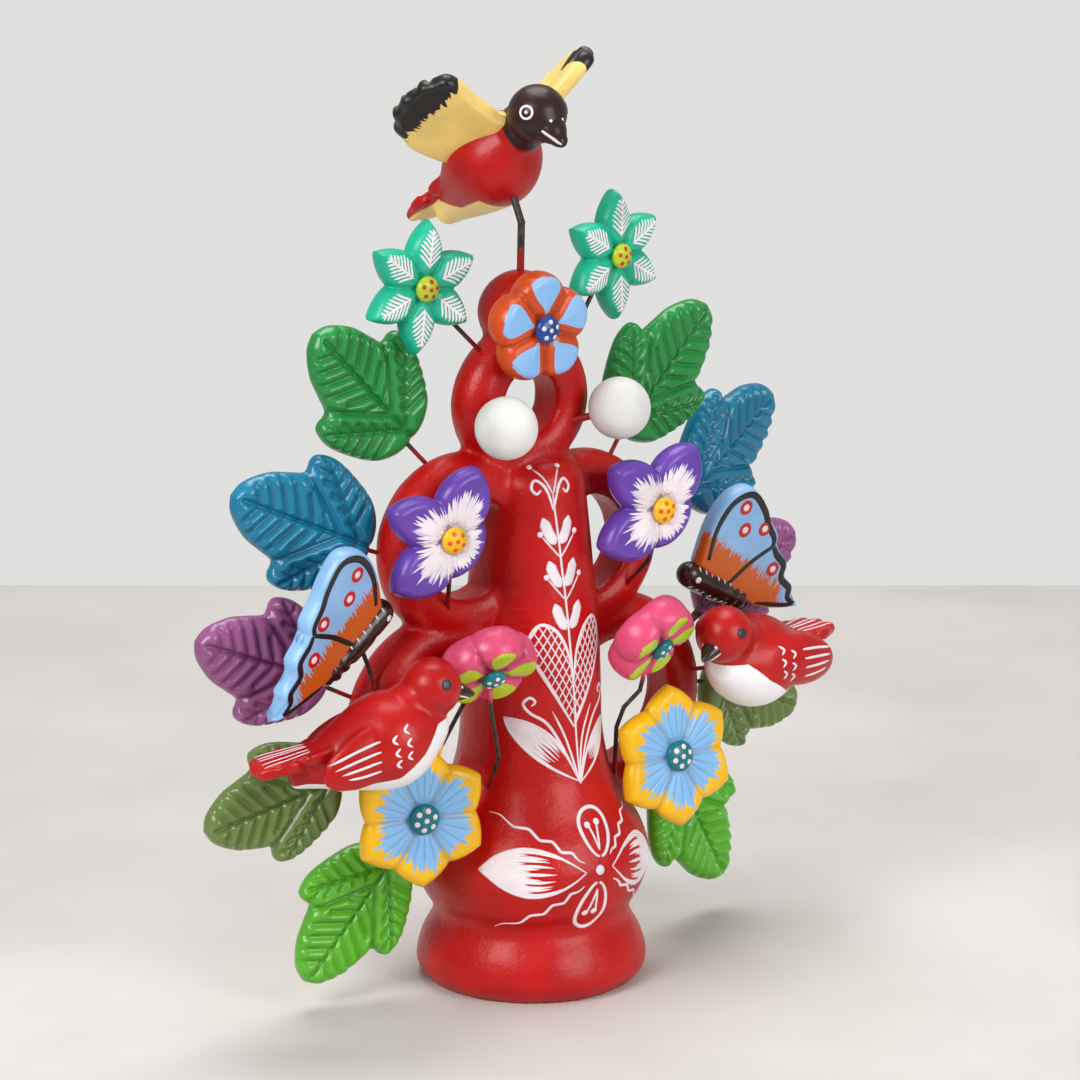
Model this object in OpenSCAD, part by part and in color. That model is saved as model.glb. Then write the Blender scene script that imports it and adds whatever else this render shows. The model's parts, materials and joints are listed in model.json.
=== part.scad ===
// Tree of life: a hollow clay trunk with looped branches, and painted clay
// leaves, flowers, birds and butterflies that stand off it on wire stems.
// Millimetres, +Z up, the front faces -Y, origin under the middle of the foot.

/* [Trunk] */
// Radius of the rounded foot
foot_r = 36.8; // [34:0.2:38]
// Radius of the waist between foot and belly
waist_r = 31; // [28:0.5:33]
// Radius of the belly
belly_r = 37.7; // [35:0.1:39]
// Radius of the trunk half way up
trunk_r = 21.6; // [20:0.2:23]
// Radius of the trunk's top under the crown
neck_r = 17.6; // [16.5:0.1:18.5]
// Height of the trunk's domed top
trunk_h = 171; // [168:1:173]
// Thickness of the thrown wall
wall = 6; // [4:0.5:8]
// Radius of the steam vent in the floor
vent_r = 4; // [3:0.5:6]
// Distance of the vent from the middle of the floor
vent_x = 12; // [8:1:16]

/* [Branches] */
// Radius of the rolled clay that the branches are made of
coil_r = 8.4; // [7.5:0.1:9]
// Half the width of the flat inner face of a branch loop
loop_flat = 5.6; // [5:0.1:6.5]
// Bend radius of the middle branch loops
middle_bend = 21.5; // [21:0.5:22.5]
// Bend radius of the lower branch loops
lower_bend = 26; // [25.5:0.5:27]
// Bend radius of the crown ring
crown_bend = 16; // [15.5:0.5:17]
// Radius of the round knob on the crown
knob_r = 13; // [12:0.5:13.5]

/* [Stems] */
// Diameter of the thin stem wire
stem_d = 1.4; // [1.2:0.1:1.6]
// Diameter of the stout stem wire of the balls and the top bird
stout_d = 2.3; // [2:0.1:2.5]
// Radial play of a stem in its socket
play = 0.05; // [0.02:0.01:0.1]
// Depth of a stem's socket in the clay
socket = 8; // [6:0.5:9]

/* [Leaves and flowers] */
// Thickness of a leaf
leaf_t = 6.5; // [5:0.5:7]
// Length of the green leaf
green_len = 52; // [50:1:57]
// Length of the blue leaf
blue_len = 53; // [50:1:58]
// Length of the purple leaf
purple_len = 50; // [50:1:56]
// Length of the olive leaf
olive_len = 48; // [46:1:53]
// Length of the lime leaf
lime_len = 50; // [46:1:52]
// Radius of the star flower
star_r = 20.4; // [19:0.5:22]
// Radius of the violet flower's large petals
violet_r = 23.5; // [22:0.5:25]
// Radius of the yellow flower
yellow_r = 22.5; // [20:0.5:23]
// Radius of the pink flower
pink_r = 15.5; // [15:0.5:17]
// Radius of the crown flower
orange_r = 17.5; // [16:0.5:18]
// Radius of the white balls
ball_r = 9.7; // [9:0.1:10]

/* [Birds and butterflies] */
// Radius of a bird's body
bird_r = 15; // [13:0.5:15.5]
// Radius of a bird's head
head_r = 9.2; // [8.5:0.1:9.5]
// Size of a butterfly, where 1 is 62 mm long
butterfly_scale = 0.95; // [0.9:0.05:1]
// Thickness of a butterfly's wings
butterfly_t = 6; // [5:0.5:7]

/* [Hidden] */
$fn = 64;
SIDES = ["left", "right"];
KINDS = ["star", "green_leaf", "blue_leaf", "purple_leaf", "olive_leaf", "lime_leaf",
         "ball", "violet", "butterfly", "bird", "pink_flower", "yellow_flower"];

function is_left(side) = side == "left";
function unit(v) = v / norm(v);
function along(a, b, distance) = a + unit(b - a) * distance;
function stem_size(kind) = kind == "ball" ? stout_d : stem_d;

// A smooth curve through points, with a few steps between neighbours
function curve(p, steps = 5) = concat([for (i = [0:len(p) - 2], k = [0:steps - 1])
    let (t = k / steps, a = p[max(i - 1, 0)], b = p[i], c = p[i + 1], d = p[min(i + 2, len(p) - 1)])
    (2 * b + (c - a) * t + (2 * a - 5 * b + 4 * c - d) * t * t
        + (3 * b - a - 3 * c + d) * t * t * t) / 2], [p[len(p) - 1]]);

// ---- Clay body -------------------------------------------------------------

// Trunk outline from the foot to the top, as [radius, height]
trunk_line = curve([[foot_r - 3.6, 0], [foot_r, 5], [foot_r - 1.6, 13], [waist_r, 22],
    [belly_r - 2.6, 30], [belly_r, 40], [belly_r - 3, 50], [29, 59], [24.6, 69], [22.4, 84],
    [trunk_r, 108], [neck_r + 2, 132], [neck_r, 153], [neck_r - 1, 163], [neck_r - 6, 169],
    [0, trunk_h]]);

module trunk_form() {
    rotate_extrude() polygon(concat([[0, 0]], trunk_line));
}

module trunk_hollow() {
    rotate_extrude() polygon([[0, wall], [foot_r - wall - 3, wall], [waist_r - wall, 22],
        [belly_r - wall - 1, 40], [22, 62], [16, 80], [14, 120], [neck_r - wall - 2, 148], [0, 152]]);
}

module vent() {
    translate([vent_x, 0, -1]) cylinder(r = vent_r, h = wall + 2);
}

// The trunk, with seats where the crown and the branches are luted to it
module trunk() {
    color("firebrick") difference() {
        trunk_form();
        trunk_hollow();
        vent();
        crown_form();
        for (s = SIDES) {
            middle_form(s);
            lower_form(s);
        }
        for (s = SIDES) bore(stem("pink_flower", s));
        bore(stem("yellow_flower", "left"));
    }
}

// A rolled branch bent in the tree's plane, round outside and cut flat inside the loop.
// It reaches half_turn to both sides of its outermost point.
module branch(centre, bend, half_turn) {
    translate([centre[0], 0, centre[1]]) rotate([90, centre[0] < 0 ? 180 : 0, 0]) rotate([0, 0, -half_turn])
        rotate_extrude(angle = 2 * half_turn) intersection() {
            translate([bend, 0]) circle(coil_r);
            translate([bend - loop_flat, -coil_r]) square(2 * coil_r);
        }
}

crown_c = [-4.4, 187];
knob_z = 215;
// The middle of each loop, as [X, Z]; the right side was set a little lower by hand
function middle_c(side) = is_left(side) ? [-27.5, 144] : [17.5, 138.5];
function lower_c(side) = is_left(side) ? [-35, 89.5] : [30.5, 85.5];

module crown_form() {
    branch(crown_c, crown_bend, 180);
    translate([crown_c[0], 0, knob_z]) sphere(knob_r);
}

module crown_ring() {
    color("firebrick") difference() {
        crown_form();
        for (s = SIDES) bore(stem("star", s));
        for (s = SIDES) bore(stem("ball", s), stem_size("ball"));
        bore(top_stem, stout_d);
    }
}

module middle_form(side) {
    branch(middle_c(side), middle_bend, is_left(side) ? 135 : 102);
}

module middle_branch(side) {
    color("firebrick") difference() {
        middle_form(side);
        crown_form();
        for (k = ["green_leaf", "blue_leaf", "violet"]) bore(stem(k, side));
    }
}

module lower_form(side) {
    branch(lower_c(side), lower_bend, is_left(side) ? 133 : 118);
}

module lower_branch(side) {
    color("firebrick") difference() {
        lower_form(side);
        middle_form(side);
        for (k = ["purple_leaf", "butterfly", "bird", "olive_leaf", "lime_leaf"]) bore(stem(k, side));
        if (!is_left(side)) bore(stem("yellow_flower", side));
        if (is_left(side)) bore(stem("pink_flower", side));
    }
}

// ---- Stems -----------------------------------------------------------------

// Every pair's pieces, as they were placed by hand on each side of the tree:
// [kind, place, [turn, lift, spin], stem from its mouth in the clay to its end in the piece].
// A leaf's place is its stem end, any other piece's place is its middle.
right_pieces = [
    ["star", [38.3, 8.5, 226.5], [9, 0, 0], [[14.6, 0.6, 202], [34, 8, 221]]],
    ["green_leaf", [39, 6.5, 169.5], [0, 0, -43], [[32.6, 2.5, 163.1], [46, 7, 176.5]]],
    ["blue_leaf", [67.5, 8, 144.5], [14, 0, -60], [[46, 4, 142], [81.5, 10.5, 153]]],
    ["purple_leaf", [72, 7, 106], [8, 0, -68], [[60, 4, 98], [88, 9, 111]]],
    ["olive_leaf", [75, 6.5, 83], [8, 0, -113], [[63, 4, 84], [86, 9, 78]]],
    ["lime_leaf", [61, 7, 54.5], [8, 0, -150], [[48, 3, 58], [66, 8, 46]]],
    ["ball", [21.6, -17, 184], [0, 0, 0], [[11, -8, 180], [21.6, -17.5, 184]]],
    ["violet", [33, -21.2, 151.2], [0, 0, -132], [[32, -8, 124], [33, -18, 134], [33.5, -20.7, 145]]],
    ["butterfly", [57, -8, 122.5], [0, -12, 10], [[55, -6, 104], [62, -9, 113], [64, -8, 120]]],
    ["bird", [71.8, -23.5, 96], [-71, 6, 0], [[58, -7, 91], [66.5, -19, 94]]],
    ["pink_flower", [27.8, -25.5, 111], [16, -35, 0],
        [[23, -13.4, 64.5], [20.5, -17.5, 81], [21.5, -20, 88], [25.5, -23, 93.5], [27.5, -25, 105.5]]],
    ["yellow_flower", [36.5, -26.3, 71], [-1, 9, 0], [[43, -7, 62.5], [37, -25.6, 70.5]]]
];
left_pieces = [
    ["star", [-42.2, 0, 227.2], [0, 0, -8], [[-20.3, -0.9, 204.8], [-39, 0, 223.6]]],
    ["green_leaf", [-39.3, 10, 177.7], [0, 0, 43], [[-36.5, 5, 170.3], [-48, 10.2, 184.5]]],
    ["blue_leaf", [-58, 5.5, 147.5], [-5, 0, 65], [[-56.2, 3.3, 145.5], [-75, 8, 153]]],
    ["purple_leaf", [-72.5, 7, 107.5], [-5, 0, 68], [[-66, 4, 101], [-88, 9, 112.5]]],
    ["olive_leaf", [-69.5, 6.5, 76], [-8, 0, 104], [[-64.7, 4.4, 76.6], [-82, 9, 73]]],
    ["lime_leaf", [-49, 7, 47.5], [-8, 0, 140], [[-46, 3.5, 57.7], [-57, 9, 39]]],
    ["ball", [-24, -19.5, 184.4], [0, 0, 0], [[-17.5, -8.2, 180.5], [-24, -19.5, 184.4]]],
    ["violet", [-43, -15, 152], [-5, 0, -120], [[-38, -8, 128], [-41, -13, 138], [-42, -14.5, 148]]],
    ["butterfly", [-63.5, -8, 130], [12, -12, 0], [[-63.6, -5.7, 104.1], [-69, -9, 115], [-72, -8, 124]]],
    ["bird", [-75.5, -25, 95.5], [71, 17, 0], [[-62.5, -7.8, 92.1], [-70, -20, 94]]],
    ["pink_flower", [-33.5, -22.4, 112], [-10, -42, 0],
        [[-23.3, -9.8, 67.7], [-26, -18, 80], [-30, -20, 94], [-32.5, -21.5, 108]]],
    ["yellow_flower", [-53.5, -14.5, 65], [-14, 0, 0], [[-20.5, 3, 97], [-45, -14, 86], [-49, -14.5, 77]]]
];

function piece_row(kind, side) =
    [for (row = is_left(side) ? left_pieces : right_pieces) if (row[0] == kind) row][0];

// A stem's line from its mouth in the clay
function stem(kind, side) = piece_row(kind, side)[3];
top_stem = [[crown_c[0], -0.5, knob_z + 12.8], [crown_c[0], -1, 243], [crown_c[0], 5, 254]];
// The bottom of a stem's socket, in line with its first stretch
function socket_end(line) = along(line[0], line[1], -socket);

// A straight round bar from a to b
module bar(a, b, d) {
    v = b - a;
    translate(a) rotate([0, acos(v[2] / norm(v)), atan2(v[1], v[0])]) cylinder(d = d, h = norm(v));
}

// A stem's wire, from the bottom of its socket to its end, with a small swelling at each bend
module wire(line, d = stem_d) {
    color("dimgray") {
        bar(socket_end(line), line[1], d);
        if (len(line) > 2) for (i = [2:len(line) - 1]) {
            bar(line[i - 1], line[i], d);
            translate(line[i - 1]) sphere(d = d * 1.06);
        }
    }
}

// The socket that a stem turns in, open to the outside of the clay
module bore(line, d = stem_d) {
    bar(socket_end(line), along(line[0], line[1], 6), d + 2 * play);
}

// ---- Leaves and flowers ----------------------------------------------------

// Puts a piece drawn flat, front up and tip towards +Y, at a point in the tree:
// face turns it about Z, lift raises its face, spin turns it in its own plane.
module hang(at, face = 0, lift = 0, spin = 0) {
    translate(at) rotate([0, 0, face]) rotate([90 - lift, 0, 0]) rotate([0, 0, spin]) children();
}

// Half of a three-lobed leaf, from the stem to the tip, for a leaf 1 long
leaf_side = concat(curve([[0, 0], [0.12, 0.03], [0.24, 0.1], [0.35, 0.27], [0.41, 0.44], [0.4, 0.55]]),
                   curve([[0.37, 0.575], [0.29, 0.585], [0.235, 0.73], [0.16, 0.89], [0.06, 0.985], [0, 1]]));

module leaf_form(length) {
    outline = concat(leaf_side, [for (i = [len(leaf_side) - 2:-1:1]) [-leaf_side[i][0], leaf_side[i][1]]]);
    translate([0, 0, -leaf_t / 2]) linear_extrude(leaf_t) scale(length) polygon(outline);
}

// Closed outline whose petals reach the given radii at the given angles, clockwise from
// the top, and meet half way between their neighbours at the radius waist
function petals(radii, angles, waist, power) = let (n = len(radii), steps = 12)
    [for (k = [0:n - 1], i = [-steps:steps - 1]) let (t = i / steps,
            near = angles[(k + (i < 0 ? n - 1 : 1)) % n], gap = (near - angles[k] + 360 * (i < 0 ? 1 : 2)) % 360,
            a = angles[k] + t * (i < 0 ? 360 - gap : gap) / 2)
        (waist + (radii[k] - waist) * (1 - pow(abs(t), power))) * [sin(a), cos(a)]];

// The same radius for each of n petals
function even(n, r) = [for (i = [1:n]) r];
function evenly(n) = [for (i = [0:n - 1]) i * 360 / n];

module flower_form(radii, waist, power, thick, bead_r, angles = []) {
    outline = petals(radii, len(angles) > 0 ? angles : evenly(len(radii)), waist, power);
    translate([0, 0, -thick / 2]) linear_extrude(thick) polygon(outline);
    translate([0, 0, thick / 2 - 0.5]) cylinder(r1 = bead_r, r2 = bead_r * 0.6, h = 2.5);
}

module piece_form(kind) {
    if (kind == "star") flower_form(even(6, star_r), 11.5, 1.25, 8, 4);
    else if (kind == "green_leaf") leaf_form(green_len);
    else if (kind == "blue_leaf") leaf_form(blue_len);
    else if (kind == "purple_leaf") leaf_form(purple_len);
    else if (kind == "olive_leaf") leaf_form(olive_len);
    else if (kind == "lime_leaf") leaf_form(lime_len);
    else if (kind == "ball") sphere(ball_r);
    else if (kind == "violet")
        flower_form([violet_r - 11, violet_r + 1, violet_r, violet_r], 13, 1.5, 8, 4.2, [0, 114, 178, 265]);
    else if (kind == "butterfly") butterfly_form();
    else if (kind == "pink_flower") flower_form(even(5, pink_r), 14, 1.8, 11, 4);
    else flower_form(even(6, yellow_r), 18.5, 1.3, 6.5, 5);
}

module piece(kind, side) {
    row = piece_row(kind, side);
    difference() {
        if (kind == "bird") perched(row[1], row[2][0], row[2][1]) bird_form([20, 10.5]);
        else hang(row[1], row[2][0], row[2][1]) rotate([0, 0, row[2][2]])
            mirror([is_left(side) && kind == "butterfly" ? 1 : 0, 0, 0]) piece_form(kind);
        wire(stem(kind, side), stem_size(kind));
    }
}

function piece_color(kind) =
    kind == "star" ? "mediumseagreen" : kind == "green_leaf" ? "forestgreen" :
    kind == "blue_leaf" ? "steelblue" : kind == "purple_leaf" ? "mediumorchid" :
    kind == "olive_leaf" ? "olivedrab" : kind == "lime_leaf" ? "limegreen" :
    kind == "ball" ? "white" : kind == "violet" ? "mediumpurple" :
    kind == "butterfly" ? "lightskyblue" : kind == "bird" ? "red" :
    kind == "pink_flower" ? "hotpink" : "gold";

// ---- Butterflies and birds ---------------------------------------------------

// The wings are one slab, from the head's end at the origin outwards; the body is a roll along them
butterfly_wing = concat(curve([[2, 4], [9, 19], [19, 26], [28, 24], [31, 14], [33, 4]], 4),
                        curve([[35, -2], [40, -9], [41, -16], [45, -26]], 4),
                        curve([[38, -25], [26, -20], [14, -10]], 4));

module butterfly_form() {
    translate([0, 0, -butterfly_t / 2]) linear_extrude(butterfly_t) scale(butterfly_scale) polygon(butterfly_wing);
    bar([-3, 3, 0], [23, -18, 0], 8.5);
}

// Sets a bird, drawn level with its beak towards -Y, at a point: turn about Z, then nose up
module perched(at, turn, nose_up) {
    translate(at) rotate([-nose_up, 0, turn]) children();
}

// Body outline from the tail's root to the throat, as [radius, distance forward]
bird_line = curve([[3.5, -30], [6.5, -22], [11, -12], [bird_r, 0], [bird_r - 1.5, 9], [8, 17], [4, 21]]);

// A bird whose head is given as [distance forward, height] from the middle of its body,
// and whose beak is turned from straight up
module bird_form(head, beak = [108, 0, 0]) {
    rotate([90, 0, 0]) rotate_extrude() polygon(concat([[0, -30]], bird_line, [[0, 21]]));
    translate([0, -head[0], head[1]]) {
        sphere(head_r);
        rotate(beak) translate([0, 0, 5]) cylinder(r1 = 5.5, r2 = 1.2, h = 10);
    }
    bar([0, -10, 1], [0, -head[0], head[1]], 15);
    translate([0, 15, 1]) rotate([6, 0, 0]) linear_extrude(5)
        polygon([[-5, 0], [-6.5, 10], [-8, 21], [-5.5, 25], [5.5, 25], [8, 21], [6.5, 10], [5, 0]]);
}

// A spread wing of the top bird, from its root at the origin out along +X
wing_line = concat([[-4, -13]], curve([[2, -13], [11, -17], [20, -22], [27, -20], [31, -12], [32, -3], [28, 6], [19, 12],
    [8, 14], [2, 13]], 4), [[-4, 13]]);

module wing(side) {
    mirror([is_left(side) ? 1 : 0, 0, 0]) translate([8, -10, 1]) rotate([0, -24, 0])
        linear_extrude(5) polygon(wing_line);
}

// ---- The assembly ------------------------------------------------------------

module crown_flower() {
    color("orangered") difference() {
        hang([crown_c[0] - 4, -14.5, 213], 0, 0) flower_form(even(5, orange_r), 14.5, 1.8, 10, 4.3);
        crown_form();
    }
}

module top_bird() {
    color("firebrick") difference() {
        perched([crown_c[0], 15, 259], 3, 41) {
            bird_form([29, -1], [163, -17, 0]);
            for (s = SIDES) wing(s);
        }
        wire(top_stem, stout_d);
    }
}

trunk();
crown_ring();
crown_flower();
top_bird();
wire(top_stem, stout_d);  // top_bird_stem
for (s = SIDES) {
    middle_branch(s);
    lower_branch(s);
    for (k = KINDS) {
        color(piece_color(k)) piece(k, s);
        wire(stem(k, s), stem_size(k));
    }
}
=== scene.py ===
"""Looks of a painted clay tree of life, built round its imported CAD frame.

The clay body is one hand-smoothed form. Leaves, flowers, butterflies and birds are pressed from balls of
clay, then painted with brush work that follows each piece. Lengths are in millimetres until a mesh is placed.
"""

import json
import logging
import math
from dataclasses import dataclass
from enum import Enum
from typing import Callable, Sequence

import bmesh
import bpy
import numpy as np
from mathutils import Matrix, Vector, noise
from mathutils.bvhtree import BVHTree

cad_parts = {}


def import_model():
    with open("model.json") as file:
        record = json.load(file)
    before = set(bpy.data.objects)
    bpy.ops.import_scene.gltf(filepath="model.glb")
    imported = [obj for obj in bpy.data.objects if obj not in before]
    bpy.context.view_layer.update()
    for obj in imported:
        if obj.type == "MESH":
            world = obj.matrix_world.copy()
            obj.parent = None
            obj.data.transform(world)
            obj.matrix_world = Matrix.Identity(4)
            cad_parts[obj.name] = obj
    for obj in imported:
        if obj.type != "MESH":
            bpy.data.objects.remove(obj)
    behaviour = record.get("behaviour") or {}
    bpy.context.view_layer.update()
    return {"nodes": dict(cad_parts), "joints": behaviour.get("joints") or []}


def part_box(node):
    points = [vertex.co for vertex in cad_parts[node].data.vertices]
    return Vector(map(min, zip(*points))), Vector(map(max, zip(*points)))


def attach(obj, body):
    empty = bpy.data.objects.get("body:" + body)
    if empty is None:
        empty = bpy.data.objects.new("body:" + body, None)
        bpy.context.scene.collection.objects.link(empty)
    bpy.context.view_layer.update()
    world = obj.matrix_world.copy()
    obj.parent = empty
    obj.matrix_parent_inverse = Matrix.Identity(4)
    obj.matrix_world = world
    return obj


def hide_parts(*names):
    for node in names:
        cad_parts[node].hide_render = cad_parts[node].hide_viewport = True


log = logging.getLogger("tree_of_life")
Point2 = tuple[float, float]
# Gives the places and normals, or the heights and hollows, of drawn points
Surface = Callable[[np.ndarray], tuple[np.ndarray, np.ndarray]]
MM = 0.001
TINY = 1e-6
# A painted area's value where the brush never went
UNPAINTED = -9.0
# How far from a piece a brush looks at it, in millimetres
LOOK_FROM = 60.0


class Side(Enum):
    """A side of the tree, seen from its painted front."""

    LEFT = "left"
    RIGHT = "right"


# ---- Paint and shader maths --------------------------------------------------


def linear(red: int, green: int, blue: int) -> tuple[float, float, float, float]:
    """A paint colour given as 0 to 255 values, as linear light.

    Args:
        red, green, blue: the mixed paint's colour.
    Returns:
        The colour with full alpha.
    """
    def one(v: float) -> float:
        """One channel in linear light."""
        v /= 255
        return v / 12.92 if v <= 0.04045 else ((v + 0.055) / 1.055) ** 2.4
    return (one(red), one(green), one(blue), 1.0)


def shade(colour: tuple, share: float, lift: float = 0.0) -> tuple:
    """A colour made darker or paler.

    Args:
        colour: linear light.
        share: what its channels are multiplied by.
        lift: what is then added to them.
    Returns:
        The colour with full alpha.
    """
    return tuple(min(1.0, c * share + lift) for c in colour[:3]) + (1.0,)


class Sock:
    """A value in a material's nodes that takes part in plain arithmetic."""

    def __init__(self, shader: "Shader", socket: bpy.types.NodeSocket) -> None:
        """Wraps an output socket of a shader's node."""
        self.shader, self.socket = shader, socket

    def _do(self, operation: str, a: "Sock | float", b: "Sock | float") -> "Sock":
        """Adds one Math node."""
        return self.shader.node("ShaderNodeMath", {"operation": operation}, {0: a, 1: b})

    def __add__(self, other: "Sock | float") -> "Sock":
        """The sum."""
        return self._do("ADD", self, other)

    __radd__ = __add__

    def __sub__(self, other: "Sock | float") -> "Sock":
        """The difference."""
        return self._do("SUBTRACT", self, other)

    def __rsub__(self, other: float) -> "Sock":
        """The difference from a number."""
        return self._do("SUBTRACT", other, self)

    def __mul__(self, other: "Sock | float") -> "Sock":
        """The product."""
        return self._do("MULTIPLY", self, other)

    __rmul__ = __mul__

    def clamp(self) -> "Sock":
        """The value kept between 0 and 1."""
        return self.shader.node("ShaderNodeClamp", {}, {"Value": self})


class Shader:
    """A material's node tree, written as expressions."""

    def __init__(self, name: str) -> None:
        """Starts an empty material."""
        self.material = bpy.data.materials.new(name)
        self.material.use_nodes = True
        self.tree = self.material.node_tree
        self.bsdf = self.tree.nodes["Principled BSDF"]

    def node(self, kind: str, settings: dict, inputs: dict, output: int | str = 0) -> Sock:
        """Makes a node.

        Args:
            kind: the node's type.
            settings: its properties, set first.
            inputs: values or links by socket name or number.
            output: which output to wrap.
        Returns:
            The wrapped output.
        """
        made = self.tree.nodes.new(kind)
        for key, value in settings.items():
            setattr(made, key, value)
        for key, value in inputs.items():
            self.feed(made.inputs[key], value)
        return Sock(self, made.outputs[output])

    def feed(self, socket: bpy.types.NodeSocket, value: object) -> None:
        """Links or sets one input socket."""
        if isinstance(value, Sock):
            self.tree.links.new(value.socket, socket)
        else:
            socket.default_value = value

    def attribute(self, name: str, vector: bool = False) -> Sock:
        """A value stored on the mesh."""
        return self.node("ShaderNodeAttribute", {"attribute_name": name}, {}, "Vector" if vector else "Fac")

    def place(self) -> Sock:
        """Object coordinates in metres."""
        return self.node("ShaderNodeTexCoord", {}, {}, "Object")

    def grain(self, where: Sock, scale: float, detail: float = 3.0) -> Sock:
        """Noise from 0 to 1 at a scale in features per metre."""
        return self.node("ShaderNodeTexNoise", {}, {"Vector": where, "Scale": scale, "Detail": detail})

    def ramp(self, value: Sock, low: float, high: float) -> Sock:
        """A smooth step from 0 at low to 1 at high."""
        return self.node("ShaderNodeMapRange", {"interpolation_type": "SMOOTHSTEP"},
                         {"Value": value, "From Min": low, "From Max": high})

    def mix(self, share: Sock, first: object, second: object) -> Sock:
        """Blends two colours."""
        made = self.tree.nodes.new("ShaderNodeMix")
        made.data_type = "RGBA"
        self.feed(made.inputs[0], share)
        self.feed(made.inputs[6], first)
        self.feed(made.inputs[7], second)
        return Sock(self, made.outputs[2])


# Grain of the paint, in features per metre
BROAD, DENTS, FINE = 55.0, 260.0, 900.0
# Shares of a paint's colour where it lies thin, where it lies thick, and where a hollow is darkened as
# painted shade
THIN, THICK, HOLLOW_SHADE = 1.35, 0.78, 0.3


@dataclass(frozen=True)
class Coat:
    """One further colour brushed over a piece, where the mesh value called by its name is above zero."""

    name: str
    colour: tuple
    edge: float = 0.15
    streak: float = 0.0
    ragged: float = 0.25


@dataclass(frozen=True)
class Paint:
    """Paint over fired clay, with brush marks, uneven cover and painted shade that darkens its hollows."""

    name: str
    colour: tuple
    rough: float = 0.34
    coat: float = 0.12
    bump: float = 0.25
    # How strongly painted shade darkens the colour in hollows
    hollow: float = 0.55
    speckle: float = 0.12
    gleam: float = 0.35
    layers: tuple = ()

    def make(self) -> bpy.types.Material:
        """Builds the material."""
        s = Shader(self.name)
        here = s.place()
        broad = s.grain(here, BROAD, 4.0)
        fine = s.grain(here, FINE, 4.0)
        colour = s.mix(s.ramp(broad, 0.3, 0.72), shade(self.colour, THICK), self.colour)
        colour = s.mix(s.ramp(fine, 0.56, 0.8) * self.speckle, colour, shade(self.colour, THIN, 0.008))
        if self.layers:
            brush = s.grain(s.attribute("brush", True), 1.0, 2.0)
        for layer in self.layers:
            reach = s.attribute(layer.name) + (fine - 0.5) * layer.ragged
            if layer.streak:
                reach = reach + (brush - 0.5) * layer.streak
            colour = s.mix(s.ramp(reach, -layer.edge, layer.edge), colour, layer.colour)
        # Painted shade: the colour is darkened where the mesh's hollow value marks creases and grooves
        crease_shade = (s.attribute("hollow") * self.hollow).clamp()
        colour = s.mix(crease_shade, colour, shade(self.colour, HOLLOW_SHADE))
        s.feed(s.bsdf.inputs["Base Color"], colour)
        s.feed(s.bsdf.inputs["Roughness"], self.rough + (broad - 0.5) * 0.14 + (fine - 0.5) * 0.12)
        s.bsdf.inputs["Coat Weight"].default_value = self.coat
        s.bsdf.inputs["Coat Roughness"].default_value = 0.22
        s.bsdf.inputs["Specular IOR Level"].default_value = self.gleam
        relief = fine * 0.6 + s.grain(here, DENTS)
        bumped = s.node("ShaderNodeBump", {}, {"Height": relief, "Strength": self.bump, "Distance": 0.0006})
        s.feed(s.bsdf.inputs["Normal"], bumped)
        return s.material


WHITE = linear(238, 236, 238)
CLAY_RED = Paint("red_clay_paint", linear(190, 10, 8), rough=0.36, coat=0.14, bump=0.5, speckle=0.06,
                 gleam=0.25)
SLIP = Paint("white_slip_lines", linear(240, 228, 234), rough=0.5, coat=0.0, bump=0.35)
BALL = Paint("matt_white_paint", linear(222, 221, 219), rough=0.62, coat=0.0, bump=0.2, speckle=0.0)
BLACK_LINE = Paint("black_line_paint", linear(28, 26, 30), rough=0.3)
RED_DOT = Paint("red_dot_paint", linear(196, 30, 28), rough=0.35)
ORANGE_DOT = Paint("orange_dot_paint", linear(216, 84, 22), rough=0.35)
DARK_BROWN = Paint("dark_brown_paint", linear(46, 24, 20), rough=0.22, coat=0.4)
SLATE = Paint("slate_eye_paint", linear(44, 48, 58), rough=0.3)
WING_BLUE = Paint("butterfly_blue", linear(142, 190, 238), rough=0.3,
                  layers=(Coat("area", linear(196, 92, 26), 0.25, 14.0),))


# ---- Curves and pressed forms ------------------------------------------------


# How many points are measured at once
BATCH = 3000
# How strongly a slab's points crowd towards its rim
CROWDING = 1.3


def smooth_line(points: Sequence[Sequence[float]], steps: int = 5) -> np.ndarray:
    """A smooth curve through points.

    Args:
        points: two or more points of any dimension.
        steps: how many stretches lie between two of them.
    Returns:
        The curve's points, in order.
    """
    p = np.array(points, float)
    out = []
    for i in range(len(p) - 1):
        a, b, c, d = p[max(i - 1, 0)], p[i], p[i + 1], p[min(i + 2, len(p) - 1)]
        for k in range(steps):
            t = k / steps
            out.append((2 * b + (c - a) * t + (2 * a - 5 * b + 4 * c - d) * t * t
                        + (3 * b - a - 3 * c + d) * t ** 3) / 2)
    return np.array(out + [p[-1]])


def gap_to(points: np.ndarray, lines: Sequence[tuple]) -> np.ndarray:
    """How far points of the plane are from the nearest of some straight lines.

    Args:
        points: the points.
        lines: each line's two ends.
    Returns:
        One distance for each point.
    """
    start, end = (np.array([line[i] for line in lines], float) for i in (0, 1))
    along = end - start
    size = np.maximum((along ** 2).sum(1), 1e-9)
    made = []
    for part in np.array_split(points, len(points) // BATCH + 1):
        off = part[:, None] - start
        share = np.clip((off * along).sum(2) / size, 0, 1)
        made.append(np.sqrt(((off - share[..., None] * along) ** 2).sum(2).min(1)))
    return np.concatenate(made)


def left_of(way: np.ndarray) -> np.ndarray:
    """The way a quarter turn to the left of another, in the plane."""
    return np.array([-way[1], way[0]])


def heading(angle: float) -> np.ndarray:
    """The way at an angle clockwise from the top of a drawing, in radians."""
    return np.array([math.sin(angle), math.cos(angle)])


def turn_by(degrees: float, axis: str) -> Matrix:
    """A turn about an axis."""
    return Matrix.Rotation(math.radians(degrees), 4, axis)


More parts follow.
